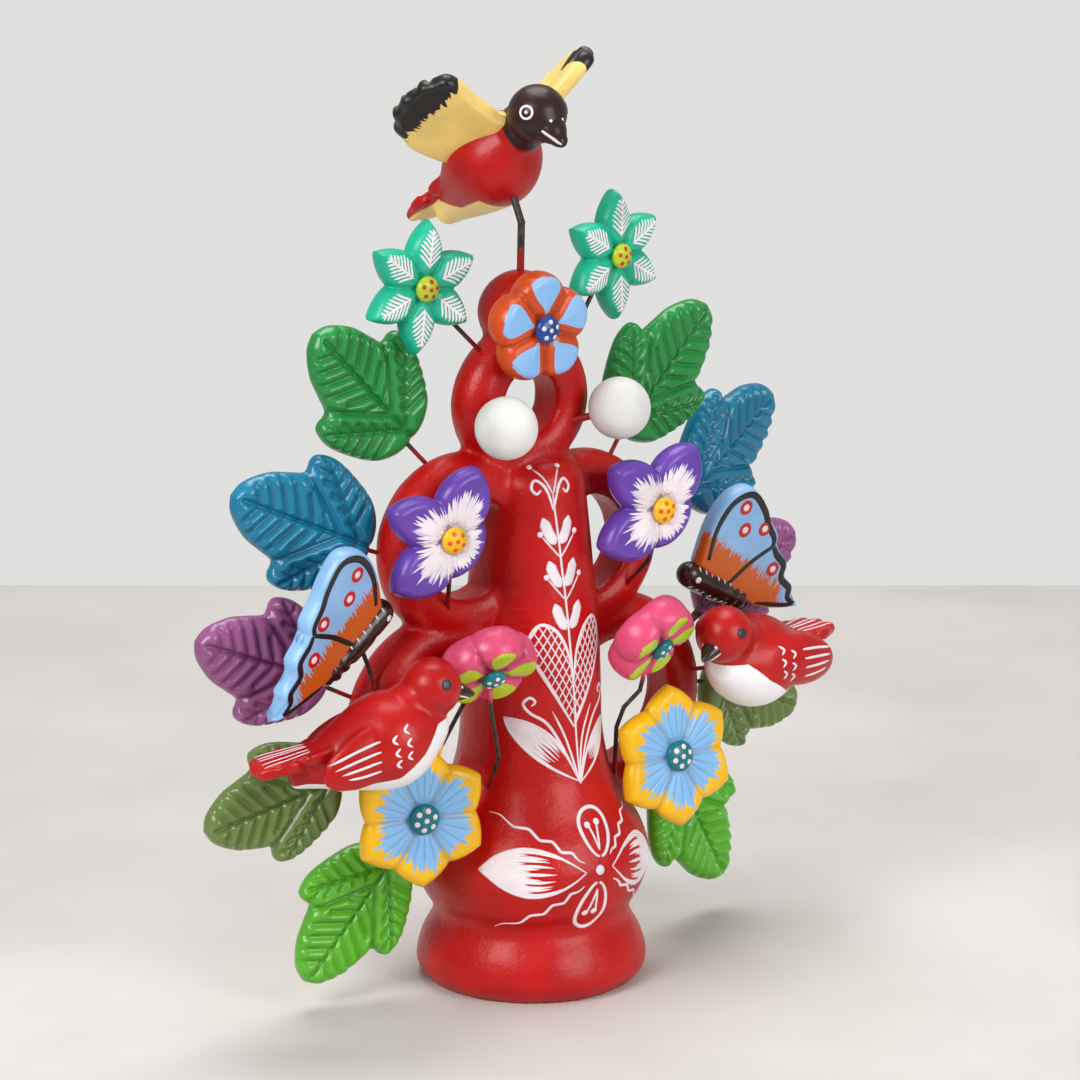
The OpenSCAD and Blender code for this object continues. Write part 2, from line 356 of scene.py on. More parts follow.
def flip(mirrored: bool) -> Matrix:
    """The mirror across X = 0 if it is wanted, or no change."""
    return Matrix.Scale(-1, 4, (1, 0, 0)) if mirrored else Matrix.Identity(4)


def hang(at: Sequence[float], turn: float, lift: float, spin: float, mirrored: bool = False) -> Matrix:
    """Where a piece drawn flat hangs.

    Args:
        at: its place in the frame.
        turn: its turn about Z, in degrees.
        lift: how far its face looks up.
        spin: its turn in its own plane.
        mirrored: whether it is the mirror of its drawing.
    Returns:
        Its place as a matrix.
    """
    turned = turn_by(turn, "Z") @ turn_by(90 - lift, "X")
    return Matrix.Translation(at) @ turned @ turn_by(spin, "Z") @ flip(mirrored)


def perched(at: Sequence[float], turn: float, nose_up: float) -> Matrix:
    """Where a bird sits that is drawn level with its beak towards -Y.

    Args:
        at: its place in the frame.
        turn: its turn about Z, in degrees.
        nose_up: how far its beak is raised.
    Returns:
        Its place as a matrix.
    """
    return Matrix.Translation(at) @ turn_by(turn, "Z") @ turn_by(-nose_up, "X")


def ball_of_clay(name: str, segments: int, rings: int) -> bpy.types.Object:
    """The round start of a piece, with nothing else selected.

    Args:
        name: the piece's name.
        segments, rings: how finely the ball is divided.
    Returns:
        A ball of radius 1.
    """
    bpy.ops.object.select_all(action="DESELECT")
    bpy.ops.mesh.primitive_uv_sphere_add(segments=segments, ring_count=rings, radius=1.0)
    made = bpy.context.object
    made.name = made.data.name = name
    return made


def tree_of(piece: bpy.types.Object) -> BVHTree:
    """A search tree of a piece still in millimetres."""
    return BVHTree.FromPolygons([v.co.copy() for v in piece.data.vertices],
                                [p.vertices[:] for p in piece.data.polygons])


def points_of(piece: bpy.types.Object) -> np.ndarray:
    """A mesh's points."""
    co = np.empty(len(piece.data.vertices) * 3)
    piece.data.vertices.foreach_get("co", co)
    return co.reshape(-1, 3)


def move_points(piece: bpy.types.Object, co: np.ndarray) -> None:
    """Sets a mesh's points."""
    piece.data.vertices.foreach_set("co", co.astype(np.float64).ravel())
    piece.data.update()


def note_values(piece: bpy.types.Object, **values: np.ndarray) -> None:
    """Stores named values on a mesh's points, for its paint."""
    for key, value in values.items():
        kind = "FLOAT" if value.ndim == 1 else "FLOAT_VECTOR"
        made = piece.data.attributes.new(key, kind, "POINT")
        made.data.foreach_set("value" if kind == "FLOAT" else "vector", value.astype(np.float32).ravel())


def set_in_place(piece: bpy.types.Object, where: Matrix, material: bpy.types.Material) -> bpy.types.Object:
    """Places a mesh drawn in millimetres, paints it and smooths its shading.

    Args:
        piece: the mesh.
        where: its place in the frame.
        material: its paint.
    Returns:
        The same piece.
    """
    flipped = where.determinant() < 0
    piece.data.transform(Matrix.Scale(MM, 4) @ where)
    piece.matrix_world = Matrix.Identity(4)
    if flipped:
        piece.data.flip_normals()
    piece.data.materials.clear()
    piece.data.materials.append(material)
    piece.data.shade_smooth()
    return piece


@dataclass
class Slab:
    """A slab pressed from a ball of clay: an outline round a middle, and a modelled top."""

    outline: np.ndarray
    middle: Point2
    thick: float
    relief: Surface
    rim: float = 2.4
    segments: int = 260
    rings: int = 92

    def __post_init__(self) -> None:
        """Works out the outline's reach by direction."""
        off = self.outline - np.array(self.middle)
        angle = np.arctan2(off[:, 1], off[:, 0])
        order = np.argsort(angle)
        self.angles, self.reaches = angle[order], np.linalg.norm(off, axis=1)[order]
        self.lines = list(zip(self.outline, np.roll(self.outline, -1, axis=0)))

    def reach(self, angle: np.ndarray) -> np.ndarray:
        """How far the outline lies from the middle in a direction."""
        return np.interp(angle, self.angles, self.reaches, period=2 * math.pi)

    def rise(self, p: np.ndarray) -> np.ndarray:
        """Share of the full thickness at each point, which falls off round the rim."""
        edge = np.clip(gap_to(p, self.lines) / self.rim, 0, 1)
        return np.sqrt(np.clip(1 - (1 - edge) ** 2, 0, 1))

    def top(self, p: np.ndarray) -> np.ndarray:
        """Height of the modelled face."""
        high, _ = self.relief(p)
        return self.rise(p) * (self.thick / 2 + high)

    def press(self, name: str) -> tuple[bpy.types.Object, np.ndarray, np.ndarray]:
        """Presses the slab.

        Args:
            name: the piece's name.
        Returns:
            The piece, its flat points, and whether each lies on the modelled face.
        """
        piece = ball_of_clay(name, self.segments, self.rings)
        co = points_of(piece)
        angle = np.arctan2(co[:, 1], co[:, 0])
        t = 1 - np.abs(np.arcsin(np.clip(co[:, 2], -1, 1))) / (math.pi / 2)
        share = 1 - (1 - np.clip(t, 0, 1)) ** CROWDING
        way = np.stack([np.cos(angle), np.sin(angle)], 1)
        flat = way * (share * self.reach(angle))[:, None] + self.middle
        front = co[:, 2] >= -TINY
        high, hollow = self.relief(flat)
        rise = self.rise(flat)
        z = np.where(front, rise * (self.thick / 2 + high), -rise * self.thick / 2)
        z[np.abs(co[:, 2]) < TINY] = 0
        move_points(piece, np.column_stack([flat, z]))
        # Depth of the hollows on the face, which the paint darkens as painted shade
        note_values(piece, hollow=np.where(front, hollow, 0.0))
        return piece, flat, front


@dataclass(frozen=True)
class Stroke:
    """A brush or slip line through points, its widest width, and the shares of it at its ends."""

    points: Sequence
    width: float
    start: float = 0.35
    end: float = 0.2
    steps: int = 4
    body: float = 0.16


@dataclass(frozen=True)
class Dot:
    """A raised drop of paint."""

    at: Point2
    radius: float
    body: float = 0.3


class Brush:
    """Lays raised strokes and dots on a surface and keeps them as one mesh."""

    SIDES = 8
    DOT_SIDES = 16
    # How many times faster than its length a stroke swells and thins
    SWELLS, THINS = 5, 4
    # How deep a stroke is pressed into its surface
    ROOT = 0.2
    # A drop's rings, as shares of its radius and height
    DROP = ((0.6, -0.3), (1.0, -0.1), (0.97, 0.35), (0.75, 0.75), (0.35, 0.97))

    def __init__(self, surface: Surface) -> None:
        """Takes a function that gives places and normals for drawn points."""
        self.surface = surface
        self.points: list[np.ndarray] = []
        self.faces: list[list[int]] = []
        self.count = 0

    def _add(self, rings: list[np.ndarray]) -> None:
        """Adds a closed form from its rings."""
        n = len(rings[0])
        base = self.count
        for ring in rings:
            self.points.append(ring)
        for k in range(len(rings) - 1):
            for i in range(n):
                a, b = base + k * n + i, base + k * n + (i + 1) % n
                self.faces.append([a, b, b + n, a + n])
        self.faces.append([base + i for i in reversed(range(n))])
        self.faces.append([base + (len(rings) - 1) * n + i for i in range(n)])
        self.count += n * len(rings)

    def stroke(self, mark: Stroke) -> None:
        """Lays one stroke."""
        line = smooth_line(mark.points, mark.steps)
        place, normal = self.surface(line)
        good = np.isfinite(place).all(1)
        place, normal = place[good], normal[good]
        if len(place) < 3:
            return
        tangent = np.gradient(place, axis=0)
        tangent /= np.linalg.norm(tangent, axis=1)[:, None] + 1e-12
        across = np.cross(tangent, normal)
        across /= np.linalg.norm(across, axis=1)[:, None] + 1e-12
        t = np.linspace(0, 1, len(place))
        swell = (np.minimum(1, mark.start + (1 - mark.start) * t * self.SWELLS)
                 * np.minimum(1, mark.end + (1 - mark.end) * (1 - t) * self.THINS))
        turn = np.arange(self.SIDES) * 2 * math.pi / self.SIDES
        tall = np.sin(turn) * np.where(np.sin(turn) > 0, mark.body, self.ROOT)
        rings = []
        for k in range(len(place)):
            wide = np.cos(turn) * mark.width / 2 * swell[k]
            rings.append(place[k] + wide[:, None] * across[k] + tall[:, None] * normal[k])
        self._add(rings)

    def dot(self, drop: Dot) -> None:
        """Lays one dot."""
        place, normal = self.surface(np.array([drop.at], float))
        if not np.isfinite(place).all():
            return
        n = normal[0] / np.linalg.norm(normal[0])
        side = np.cross(n, [0.31, 0.77, 0.55])
        side /= np.linalg.norm(side)
        other = np.cross(n, side)
        turn = np.arange(self.DOT_SIDES) * 2 * math.pi / self.DOT_SIDES
        circle = np.cos(turn)[:, None] * side + np.sin(turn)[:, None] * other
        self._add([place[0] + circle * drop.radius * r + n * drop.body * h for r, h in self.DROP])

    def finish(self, name: str, where: Matrix, paint: bpy.types.Material) -> bpy.types.Object:
        """Makes the mesh of all the marks.

        Args:
            name: the mesh's name.
            where: its place in the frame.
            paint: its material.
        Returns:
            The painted mesh.
        """
        mesh = bpy.data.meshes.new(name)
        mesh.from_pydata(np.concatenate(self.points).tolist(), [], self.faces)
        piece = bpy.data.objects.new(name, mesh)
        bpy.context.scene.collection.objects.link(piece)
        tidy = bmesh.new()
        tidy.from_mesh(mesh)
        bmesh.ops.recalc_face_normals(tidy, faces=tidy.faces)
        tidy.to_mesh(mesh)
        tidy.free()
        return set_in_place(piece, where, paint)


def on_slab(slab: Slab) -> Surface:
    """A brush surface on a slab's modelled face."""
    def surface(p: np.ndarray) -> tuple[np.ndarray, np.ndarray]:
        """Place and normal of drawn points."""
        z, step = slab.top(p), 0.25
        dx = (slab.top(p + [step, 0]) - slab.top(p - [step, 0])) / (2 * step)
        dy = (slab.top(p + [0, step]) - slab.top(p - [0, step])) / (2 * step)
        n = np.column_stack([-dx, -dy, np.ones(len(p))])
        return np.column_stack([p, z]), n / np.linalg.norm(n, axis=1)[:, None]
    return surface


def on_form(tree: BVHTree, start: Callable[[np.ndarray], tuple[Vector, Vector]]) -> Surface:
    """A brush surface on any form, found by looking at it for each drawn point.

    Args:
        tree: the form.
        start: gives the place and the way of the look.
    Returns:
        The surface.
    """
    def surface(p: np.ndarray) -> tuple[np.ndarray, np.ndarray]:
        """Place and normal of drawn points."""
        places, normals = [], []
        for point in p:
            origin, way = start(point)
            hit, n, _, _ = tree.ray_cast(origin, way)
            places.append(tuple(hit) if hit else (math.nan,) * 3)
            normals.append(tuple(n) if hit else (0.0, 0.0, 1.0))
        return np.array(places), np.array(normals)
    return surface


def clay_union(name: str, parts: Sequence[bpy.types.Object], voxel: float, smooth: int) -> bpy.types.Object:
    """Joins parts into one closed skin and smooths the joins, as a wet finger does.

    Args:
        name: the piece's name.
        parts: what is joined.
        voxel: how fine the skin is.
        smooth: how often it is rubbed.
    Returns:
        The piece.
    """
    bpy.ops.object.select_all(action="DESELECT")
    for part in parts:
        part.select_set(True)
    bpy.context.view_layer.objects.active = parts[0]
    bpy.ops.object.join()
    piece = bpy.context.object
    piece.name = piece.data.name = name
    remesh = piece.modifiers.new("skin", "REMESH")
    remesh.mode, remesh.voxel_size = "VOXEL", voxel
    bpy.ops.object.modifier_apply(modifier="skin")
    rub = piece.modifiers.new("rub", "SMOOTH")
    rub.factor, rub.iterations = 0.5, smooth
    bpy.ops.object.modifier_apply(modifier="rub")
    return piece


def hand_marks(piece: bpy.types.Object, size: float, depth: float) -> None:
    """Shallow uneven dents left by hands, for a mesh in millimetres.

    Args:
        piece: the mesh.
        size: how far apart the dents are.
        depth: how deep they are.
    """
    co = points_of(piece)
    normals = np.empty(len(co) * 3)
    piece.data.vertices.foreach_get("normal", normals)
    push = np.array([noise.noise(Vector(c) / size) + 0.35 * noise.noise(Vector(c) * 3 / size) for c in co])
    move_points(piece, co + normals.reshape(-1, 3) * (push * depth)[:, None])


# ---- Clay body ---------------------------------------------------------------


@dataclass
class ClayTree:
    """The hollow trunk with its crown ring and looped branches, luted into one body."""

    coil: float = 8.4
    loop_flat: float = 5.6
    knob: float = 13.0
    knob_at: tuple = (-4.4, 0, 215)
    voxel: float = 0.9
    vent: tuple = (12, 0, 0)
    vent_radius: float = 4.0
    loops: tuple = (((-4.4, 187.0), 16.0), ((-27.5, 144.0), 21.5), ((17.5, 138.5), 21.5),
                    ((-35.0, 89.5), 26.0), ((30.5, 85.5), 26.0))
    profile: tuple = ((33.2, 0), (36.8, 5), (35.2, 13), (31, 22), (35.1, 30), (37.7, 40), (34.7, 50),
                      (29, 59), (24.6, 69), (22.4, 84), (21.6, 108), (19.6, 132), (17.6, 153),
                      (16.6, 163), (11.6, 169), (0, 171))

    def trunk(self) -> bpy.types.Object:
        """The thrown trunk, a ball drawn up to its outline."""
        piece = ball_of_clay("trunk_clay", 128, 160)
        line = np.concatenate([[[0.0, 0.0]], smooth_line(self.profile)])
        run = np.concatenate([[0], np.cumsum(np.linalg.norm(np.diff(line, axis=0), axis=1))])
        co = points_of(piece)
        t = (np.arcsin(np.clip(co[:, 2], -1, 1)) / math.pi + 0.5) * run[-1]
        angle = np.arctan2(co[:, 1], co[:, 0])
        radius, z = np.interp(t, run, line[:, 0]), np.interp(t, run, line[:, 1])
        move_points(piece, np.column_stack([radius * np.cos(angle), radius * np.sin(angle), z]))
        return piece

    def loop(self, centre: Point2, bend: float) -> bpy.types.Object:
        """A rolled coil bent round, round outside and flat inside the loop."""
        bpy.ops.object.select_all(action="DESELECT")
        bpy.ops.mesh.primitive_torus_add(major_radius=bend, minor_radius=self.coil, major_segments=96,
                                         minor_segments=36)
        piece = bpy.context.object
        co = points_of(piece)
        radius, angle = np.hypot(co[:, 0], co[:, 1]), np.arctan2(co[:, 1], co[:, 0])
        radius = np.maximum(radius, bend - self.loop_flat)
        move_points(piece, np.column_stack([radius * np.cos(angle) + centre[0], co[:, 2],
                                            radius * np.sin(angle) + centre[1]]))
        return piece

    def build(self) -> bpy.types.Object:
        """Builds the body in millimetres, with its foot on Z = 0."""
        parts = [self.trunk()] + [self.loop(c, b) for c, b in self.loops]
        crown = ball_of_clay("knob", 64, 40)
        move_points(crown, points_of(crown) * self.knob + self.knob_at)
        body = clay_union("clay_body", parts + [crown], self.voxel, 12)
        hand_marks(body, 15.0, 0.22)
        co = points_of(body)
        co[:, 2] = np.where(co[:, 2] < 0.5, 0.0, co[:, 2])
        move_points(body, co)
        bpy.ops.object.select_all(action="DESELECT")
        bpy.ops.mesh.primitive_cylinder_add(vertices=48, radius=self.vent_radius, depth=12.0,
                                            location=self.vent)
        plug = bpy.context.object
        cut = body.modifiers.new("vent", "BOOLEAN")
        cut.object, cut.operation = plug, "DIFFERENCE"
        bpy.context.view_layer.objects.active = body
        bpy.ops.object.modifier_apply(modifier="vent")
        bpy.data.objects.remove(plug)
        return body


class SlipPainting:
    """The white raised lines on the front of the trunk, drawn as [X, Z]."""

    # How many strokes fill each half of a petal
    HAIRS = 9
    # The leans of the crossed lines in the hearts, how far apart they lie and where they start
    HATCH_LEANS, HATCH_STEP, HATCH_AT = (58.0, 118.0), 2.1, (4.0, 104.0)

    def squiggle(self, a: Point2, b: Point2, waves: int, size: float) -> Stroke:
        """A wavy line.

        Args:
            a, b: its ends.
            waves: how many waves it makes.
            size: how far it swings.
        Returns:
            The stroke.
        """
        a2, b2 = np.array(a), np.array(b)
        side = left_of((b2 - a2) / np.linalg.norm(b2 - a2))
        count = waves * 4
        points = [a2 + (b2 - a2) * k / count + side * size * math.sin(k * math.pi / 2) * min(1, k / 3)
                  for k in range(count + 1)]
        return Stroke(points, 1.0, steps=3)

    def petal(self, root: Point2, tip: Point2, width: float) -> list[Stroke]:
        """A filled petal of many fine strokes that run from its tip towards its root.

        Args:
            root, tip: its ends.
            width: how far it bulges to each side.
        Returns:
            The strokes, with the petal's two edges last.
        """
        root2, tip2 = np.array(root), np.array(tip)
        way = root2 - tip2
        side = left_of(way) / np.linalg.norm(way)
        made = []
        for k in range(-self.HAIRS, self.HAIRS + 1):
            share = k / self.HAIRS
            reach = 0.5 + 0.16 * math.cos(k * 2.3) + 0.1 * share * share
            line = [tip2 + way * t + side * share * width * math.sin(math.pi * min(1, t ** 0.8))
                    for t in np.linspace(0.01, reach, 7)]
            made.append(Stroke(line, max(0.9, width * 0.14), 0.3, 0.05, 3, 0.1))
        for sign in (-1, 1):
            line = [tip2 + way * t + side * sign * width * math.sin(math.pi * t ** 0.8)
                    for t in np.linspace(0, 1, 10)]
            made.append(Stroke(line, 0.9, 0.5, 0.4, 3, 0.2))
        return made

    def looped(self, root: Point2, tip: Point2, width: float) -> list[Stroke]:
        """An open looped petal with two stamens.

        Args:
            root, tip: its ends.
            width: how far it bulges to each side.
        Returns:
            The loop, then the stamens.
        """
        root2, tip2 = np.array(root), np.array(tip)
        way = tip2 - root2
        side = -left_of(way) / np.linalg.norm(way)
        line = []
        for a in np.linspace(0.12, 2 * math.pi - 0.12, 20):
            along = (1 - math.cos(a)) / 2
            line.append(root2 + way * along + side * width * math.sin(a) * (0.6 + 0.4 * along))
        made = [Stroke(line, 1.35, 0.6, 0.6, 3, 0.3)]
        for lean in (-0.32, 0.22):
            end = root2 + way * 0.66 + side * lean * width
            made.append(Stroke((root2 + way * 0.14, (root2 + end) / 2 + way * 0.1, end), 0.8, 0.7, 0.9))
        return made

    def belly(self) -> tuple[list[Stroke], list[Dot]]:
        """The flower on the trunk's belly."""
        hub = (-1.0, 43.2)
        lines = self.petal((-6, 43.0), (-33, 44.3), 7.4) + self.petal((4, 43.4), (27, 41.0), 8.0)
        lines += self.looped((0.2, 47.0), (1.5, 61.0), 6.2) + self.looped((-2.0, 39.5), (-3.2, 23.5), 6.0)
        lines += [self.squiggle((-6, 46), (-25.5, 60.5), 4, 0.7), self.squiggle((4, 47), (18, 58.5), 4, 0.6),
                  self.squiggle((-7, 39), (-27, 24.5), 4, 0.7), self.squiggle((4, 39.5), (20, 28.5), 3, 0.6)]
        dots = [Dot(hub, 1.6)]
        dots += [Dot(p, 1.15) for p in ((-1.2, 56.2), (2.6, 56.6), (-4.7, 29.0), (-1.6, 29.2))]
        return lines, dots

    def hearts(self) -> list[Stroke]:
        """The sprig's stem, base leaves, curls and hatched hearts."""
        stem = ((0.8, 68), (0.6, 88), (-0.5, 108), (-1.8, 130), (-3.2, 150), (-4.0, 160))
        lines = [Stroke(stem, 0.8, 0.8, 0.6, 6)]
        lines += self.petal((0.6, 68.6), (-19, 90), 4.0) + self.petal((1.2, 68.6), (15, 86), 3.0)
        for sign in (-1, 1):
            curl = ((0.8, 68), (sign * 4.5, 80), (sign * 9, 88), (sign * 13.5, 91.5), (sign * 15.2, 94.5),
                    (sign * 13.6, 96.5), (sign * 12.2, 95.2), (sign * 13.2, 93.9))
            lines.append(Stroke(curl, 1.0, 0.6, 0.5))
            lines.append(Stroke(((0.8, 68), (sign * 3, 82), (sign * 7.5, 92)), 0.8))
            heart = ((0, 86), (sign * 6.5, 97), (sign * 12.2, 108), (sign * 13.2, 115),
                     (sign * 10.0, 119.5), (sign * 5.2, 117), (sign * 1.6, 110), (0, 100))
            lines.append(Stroke(heart, 1.15, 0.6, 0.6))
            lines += self.hatch(smooth_line(heart, 6))
        return lines

    def sprig(self) -> tuple[list[Stroke], list[Dot]]:
        """The leaf pairs, berries and curled tip above the hearts."""
        lines, dots = [], []
        for row, z in enumerate((118.5, 125.5, 132, 139, 145.5)):
            shift = -1.0 - 0.53 * row
            for sign in (-1, 1):
                if row % 2 == 0:
                    leaf = ((shift + sign * 0.9, z - 1), (shift + sign * 3.0, z + 2.8),
                            (shift + sign * 4.4, z + 7.4))
                    lines.append(Stroke(leaf, 3.6, 0.15, 0.1, 6, 0.2))
                else:
                    stalk = ((shift, z + 1), (shift + sign * 3.2, z + 5), (shift + sign * 5.6, z + 8.2))
                    lines.append(Stroke(stalk, 0.6))
                    dots.append(Dot((shift + sign * 5.9, z + 8.8), 0.95))
        for sign in (-1, 1):
            curl = ((-4, 155), (-4 + sign * 2, 162), (-4 + sign * 4.5, 164.5), (-4 + sign * 6, 162.2),
                    (-4 + sign * 4.8, 160.4), (-4 + sign * 3.6, 161.6))
            lines.append(Stroke(curl, 0.95, 0.6, 0.6))
            dots.append(Dot((-4 + sign * 4.2, 168), 0.9))
            lines.append(Stroke(((-4, 160), (-4 + sign * 2, 165), (-4 + sign * 4, 167.6)), 0.6))
        return lines, dots

    def marks(self) -> tuple[list[Stroke], list[Dot]]:
        """All lines and dots of the painting."""
        low_lines, low_dots = self.belly()
        high_lines, high_dots = self.sprig()
        return low_lines + self.hearts() + high_lines, low_dots + high_dots

    def hatch(self, outline: np.ndarray) -> list[Stroke]:
        """Crossed lines kept inside one lobe of the heart."""
        made = []
        for lean in self.HATCH_LEANS:
            way = np.array([math.cos(math.radians(lean)), math.sin(math.radians(lean))])
            for step in np.arange(-60, 60, self.HATCH_STEP):
                start = np.array(self.HATCH_AT) * [np.sign(outline[:, 0].sum()), 1] + left_of(way) * step
                run = start + way * np.arange(-24, 24, 0.5)[:, None]
                kept = run[self.within(run, outline)]
                if len(kept) > 5:
                    made.append(Stroke(kept[[0, len(kept) // 2, -1]], 0.5, 0.8, 0.8, 5))
        return made

    @staticmethod
    def within(points: np.ndarray, outline: np.ndarray) -> np.ndarray:
        """Which points lie inside a closed outline."""
        inside = np.zeros(len(points), bool)
        for a, b in zip(outline, np.roll(outline, -1, axis=0)):
            if a[1] != b[1]:
                crosses = (points[:, 1] > a[1]) != (points[:, 1] > b[1])
                edge = (b[0] - a[0]) * (points[:, 1] - a[1]) / (b[1] - a[1]) + a[0]
                inside ^= crosses & (points[:, 0] < edge)
        return inside


# ---- Leaves and flowers ------------------------------------------------------


@dataclass
class Leaf:
    """A three-lobed leaf with engraved ribs and puffed cells between its veins."""

    length: float
    thick: float = 6.5
    half: tuple = ((0, 0), (0.13, 0.02), (0.255, 0.105), (0.345, 0.26), (0.402, 0.42), (0.393, 0.54),
                   (0.345, 0.575), (0.275, 0.578), (0.24, 0.68), (0.197, 0.81), (0.1, 0.94), (0, 0.985))
    rib_width: float = 0.6
    vein_width: float = 0.5
    puff_width: float = 1.35

    def veins(self) -> tuple[list, list]:
        """The ribs and the side veins, as lines for a leaf of this length."""
        ribs, fine = [((0, 0.0), (0, 0.93))], []
        for sign in (-1, 1):
            ribs += [((0, 0.1), (sign * 0.37, 0.5)), ((0, 0.24), (sign * 0.27, 0.6))]
            for y in np.arange(0.34, 0.86, 0.095):
                reach = min(0.21, 0.66 * (y - 0.2))
                fine.append(((0, y), (sign * reach, y + 0.62 * reach)))
            for t in (0.2, 0.36, 0.52, 0.68, 0.84):
                x, y = 0.37 * t, 0.1 + 0.4 * t
                fine.append(((sign * x, y), (sign * (x + 0.2), y - 0.03)))
                fine.append(((sign * x, y), (sign * (x + 0.01), y + 0.03 + 0.1 * t)))

        def scaled(lines: list) -> list:
            """The lines at this leaf's length."""
            return [(np.array(a) * self.length, np.array(b) * self.length) for a, b in lines]
        return scaled(ribs), scaled(fine)

    def slab(self) -> Slab:
        """The leaf's form."""
        side = smooth_line(self.half, 5)
        outline = np.concatenate([side, (side * [-1, 1])[-2:0:-1]]) * self.length
        ribs, fine = self.veins()

        def relief(p: np.ndarray) -> tuple[np.ndarray, np.ndarray]:
            """Height above the slab, and depth of the hollows that the paint darkens as painted shade."""
            rib, vein = gap_to(p, ribs), gap_to(p, fine)
            near = np.minimum(rib, vein)
            cut = np.exp(-(rib / self.rib_width) ** 2)
            small = np.exp(-(vein / self.vein_width) ** 2)
            high = 1.1 * (1 - np.exp(-(near / self.puff_width) ** 2)) - 0.9 * cut - 0.5 * small
            return high, np.clip(0.5 * cut + 0.22 * small, 0, 1)
        return Slab(outline, (0, 0.45 * self.length), self.thick, relief, rim=3.6)


class Bead(Enum):
    """What the raised middle of a flower is painted with."""

    LIME_RED = 1
    TEAL_WHITE = 2
    COBALT_WHITE = 3
    YELLOW_ORANGE = 4


BEADS = {
    Bead.LIME_RED: (linear(178, 200, 42), RED_DOT),
    Bead.TEAL_WHITE: (linear(8, 118, 128), SLIP),
    Bead.COBALT_WHITE: (linear(14, 74, 150), SLIP),
    Bead.YELLOW_ORANGE: (linear(246, 184, 20), ORANGE_DOT),
}


@dataclass
class Flower:
    """A flower pressed flat, with creased petals, brush work and a raised dotted middle."""

    # How many side veins a petal has on each side
    VEINS = 7
    radii: tuple
    angles: tuple
    waist: float
    power: float
    thick: float
    bead: float
    middle: Bead
    crease: float = 1.0
    engraved: int = 0
    veined: bool = False
    patch: tuple | None = None
    inner: float = 0.0
    inner_shape: str = ""
    oval: float = 1.0

    def outline(self, steps: int = 14) -> np.ndarray:
        """The closed outline, clockwise from the top."""
        n, made = len(self.radii), []
        for k in range(n):
            for i in range(-steps, steps):
                t = i / steps
                near = self.angles[(k + (n - 1 if i < 0 else 1)) % n]
                gap = (near - self.angles[k] + 360 * (1 if i < 0 else 2)) % 360
                a = math.radians(self.angles[k] + t * ((360 - gap) if i < 0 else gap) / 2)
                r = self.waist + (self.radii[k] - self.waist) * (1 - abs(t) ** self.power)
                made.append((r * math.sin(a), r * math.cos(a)))
        return np.array(made)

    def notches(self) -> list[float]:
        """Directions between petals, in degrees clockwise from the top."""
        n = len(self.angles)
        return [self.angles[k] + ((self.angles[(k + 1) % n] - self.angles[k]) % 360) / 2 for k in range(n)]

    def slab(self) -> Slab:
        """The flower's form."""
        creases = []
        for way in map(heading, map(math.radians, self.notches())):
            creases.append((way * self.bead * 0.8, way * (self.waist + 1)))

        def relief(p: np.ndarray) -> tuple[np.ndarray, np.ndarray]:
            """Height above the slab, and depth of the hollows that the paint darkens as painted shade."""
            near = gap_to(p, creases)
            cut = np.exp(-(near / 0.9) ** 2)
            high = 0.9 * self.crease * (1 - np.exp(-(near / 4.0) ** 2)) - 1.1 * self.crease * cut
            hollow = 0.5 * cut
            if self.engraved:
                angle, r = np.arctan2(p[:, 0], p[:, 1]), np.hypot(p[:, 0], p[:, 1])
                line = np.clip(np.cos(angle * self.engraved + 0.5 * np.sin(angle * 5)), 0, 1) ** 8
                fade = np.clip((r - self.bead) / 2, 0, 1) * np.clip((self.waist - 1 - r) / 4, 0, 1)
                high, hollow = high - 0.45 * line * fade, np.maximum(hollow, 0.45 * line * fade)
            high = high - 0.6 * np.exp(-((np.hypot(p[:, 0], p[:, 1]) - self.bead) / 1.2) ** 2)
            return high - 0.35 * self.crease, hollow
        return Slab(self.outline(), (0, 0), self.thick, relief, rim=3.0)

    def values(self, flat: np.ndarray, front: np.ndarray, slab: Slab) -> dict[str, np.ndarray]:
        """The painted area over the petals and the way the brush ran.

        Args:
            flat: the flower's points, drawn flat.
            front: which of them lie on its face.
            slab: its form.
        Returns:
            The values by name.
        """
        angle, r = np.arctan2(flat[:, 0], flat[:, 1]), np.hypot(flat[:, 0], flat[:, 1])
        brush = np.column_stack([np.cos(angle) * 13, np.sin(angle) * 13, r * 0.06])
        area = np.full(len(flat), UNPAINTED)
        if self.inner_shape in ("disc", "feathers"):
            share = self.inner if self.inner_shape == "disc" else self.inner * 0.78
            area = share * slab.reach(np.arctan2(flat[:, 1], flat[:, 0])) - r
        elif self.inner_shape == "patches":
            for k, way in enumerate(map(heading, map(math.radians, self.angles))):
                along = flat @ way
                across = np.abs(flat @ -left_of(way))
                mid, long, wide = (v * self.radii[k] for v in self.patch)
                shape = wide * np.clip(0.55 + 0.5 * (along - mid) / long, 0.2, 1.0)
                form = 1 - np.sqrt(((along - mid) / long) ** 2 + (across / shape) ** 2)
                area = np.maximum(area, form * wide)
        return {"brush": brush, "area": np.where(front, area, UNPAINTED)}

    def vein_marks(self) -> list[Stroke]:
        """White midribs with feathered side strokes on each petal."""
        made = []
        for r, way in zip(self.radii, map(heading, map(math.radians, self.angles))):
            side = -left_of(way)
            made.append(Stroke((way * r * 0.3, way * r * 0.6, way * r * 0.88), 0.85, 0.6, 0.2))
            for i in range(self.VEINS):
                t = 0.32 + i * 0.078
                reach = min(r * 0.19, (0.6 * r * (1 - t) - 0.6) / 1.55)
                for sign in (-1, 1):
                    root = way * r * t
                    tip = way * (r * t + reach * 0.95) + side * sign * reach
                    made.append(Stroke((root, (root + tip) / 2 + way * 0.2, tip), 0.74, 0.7, 0.15))
        return made


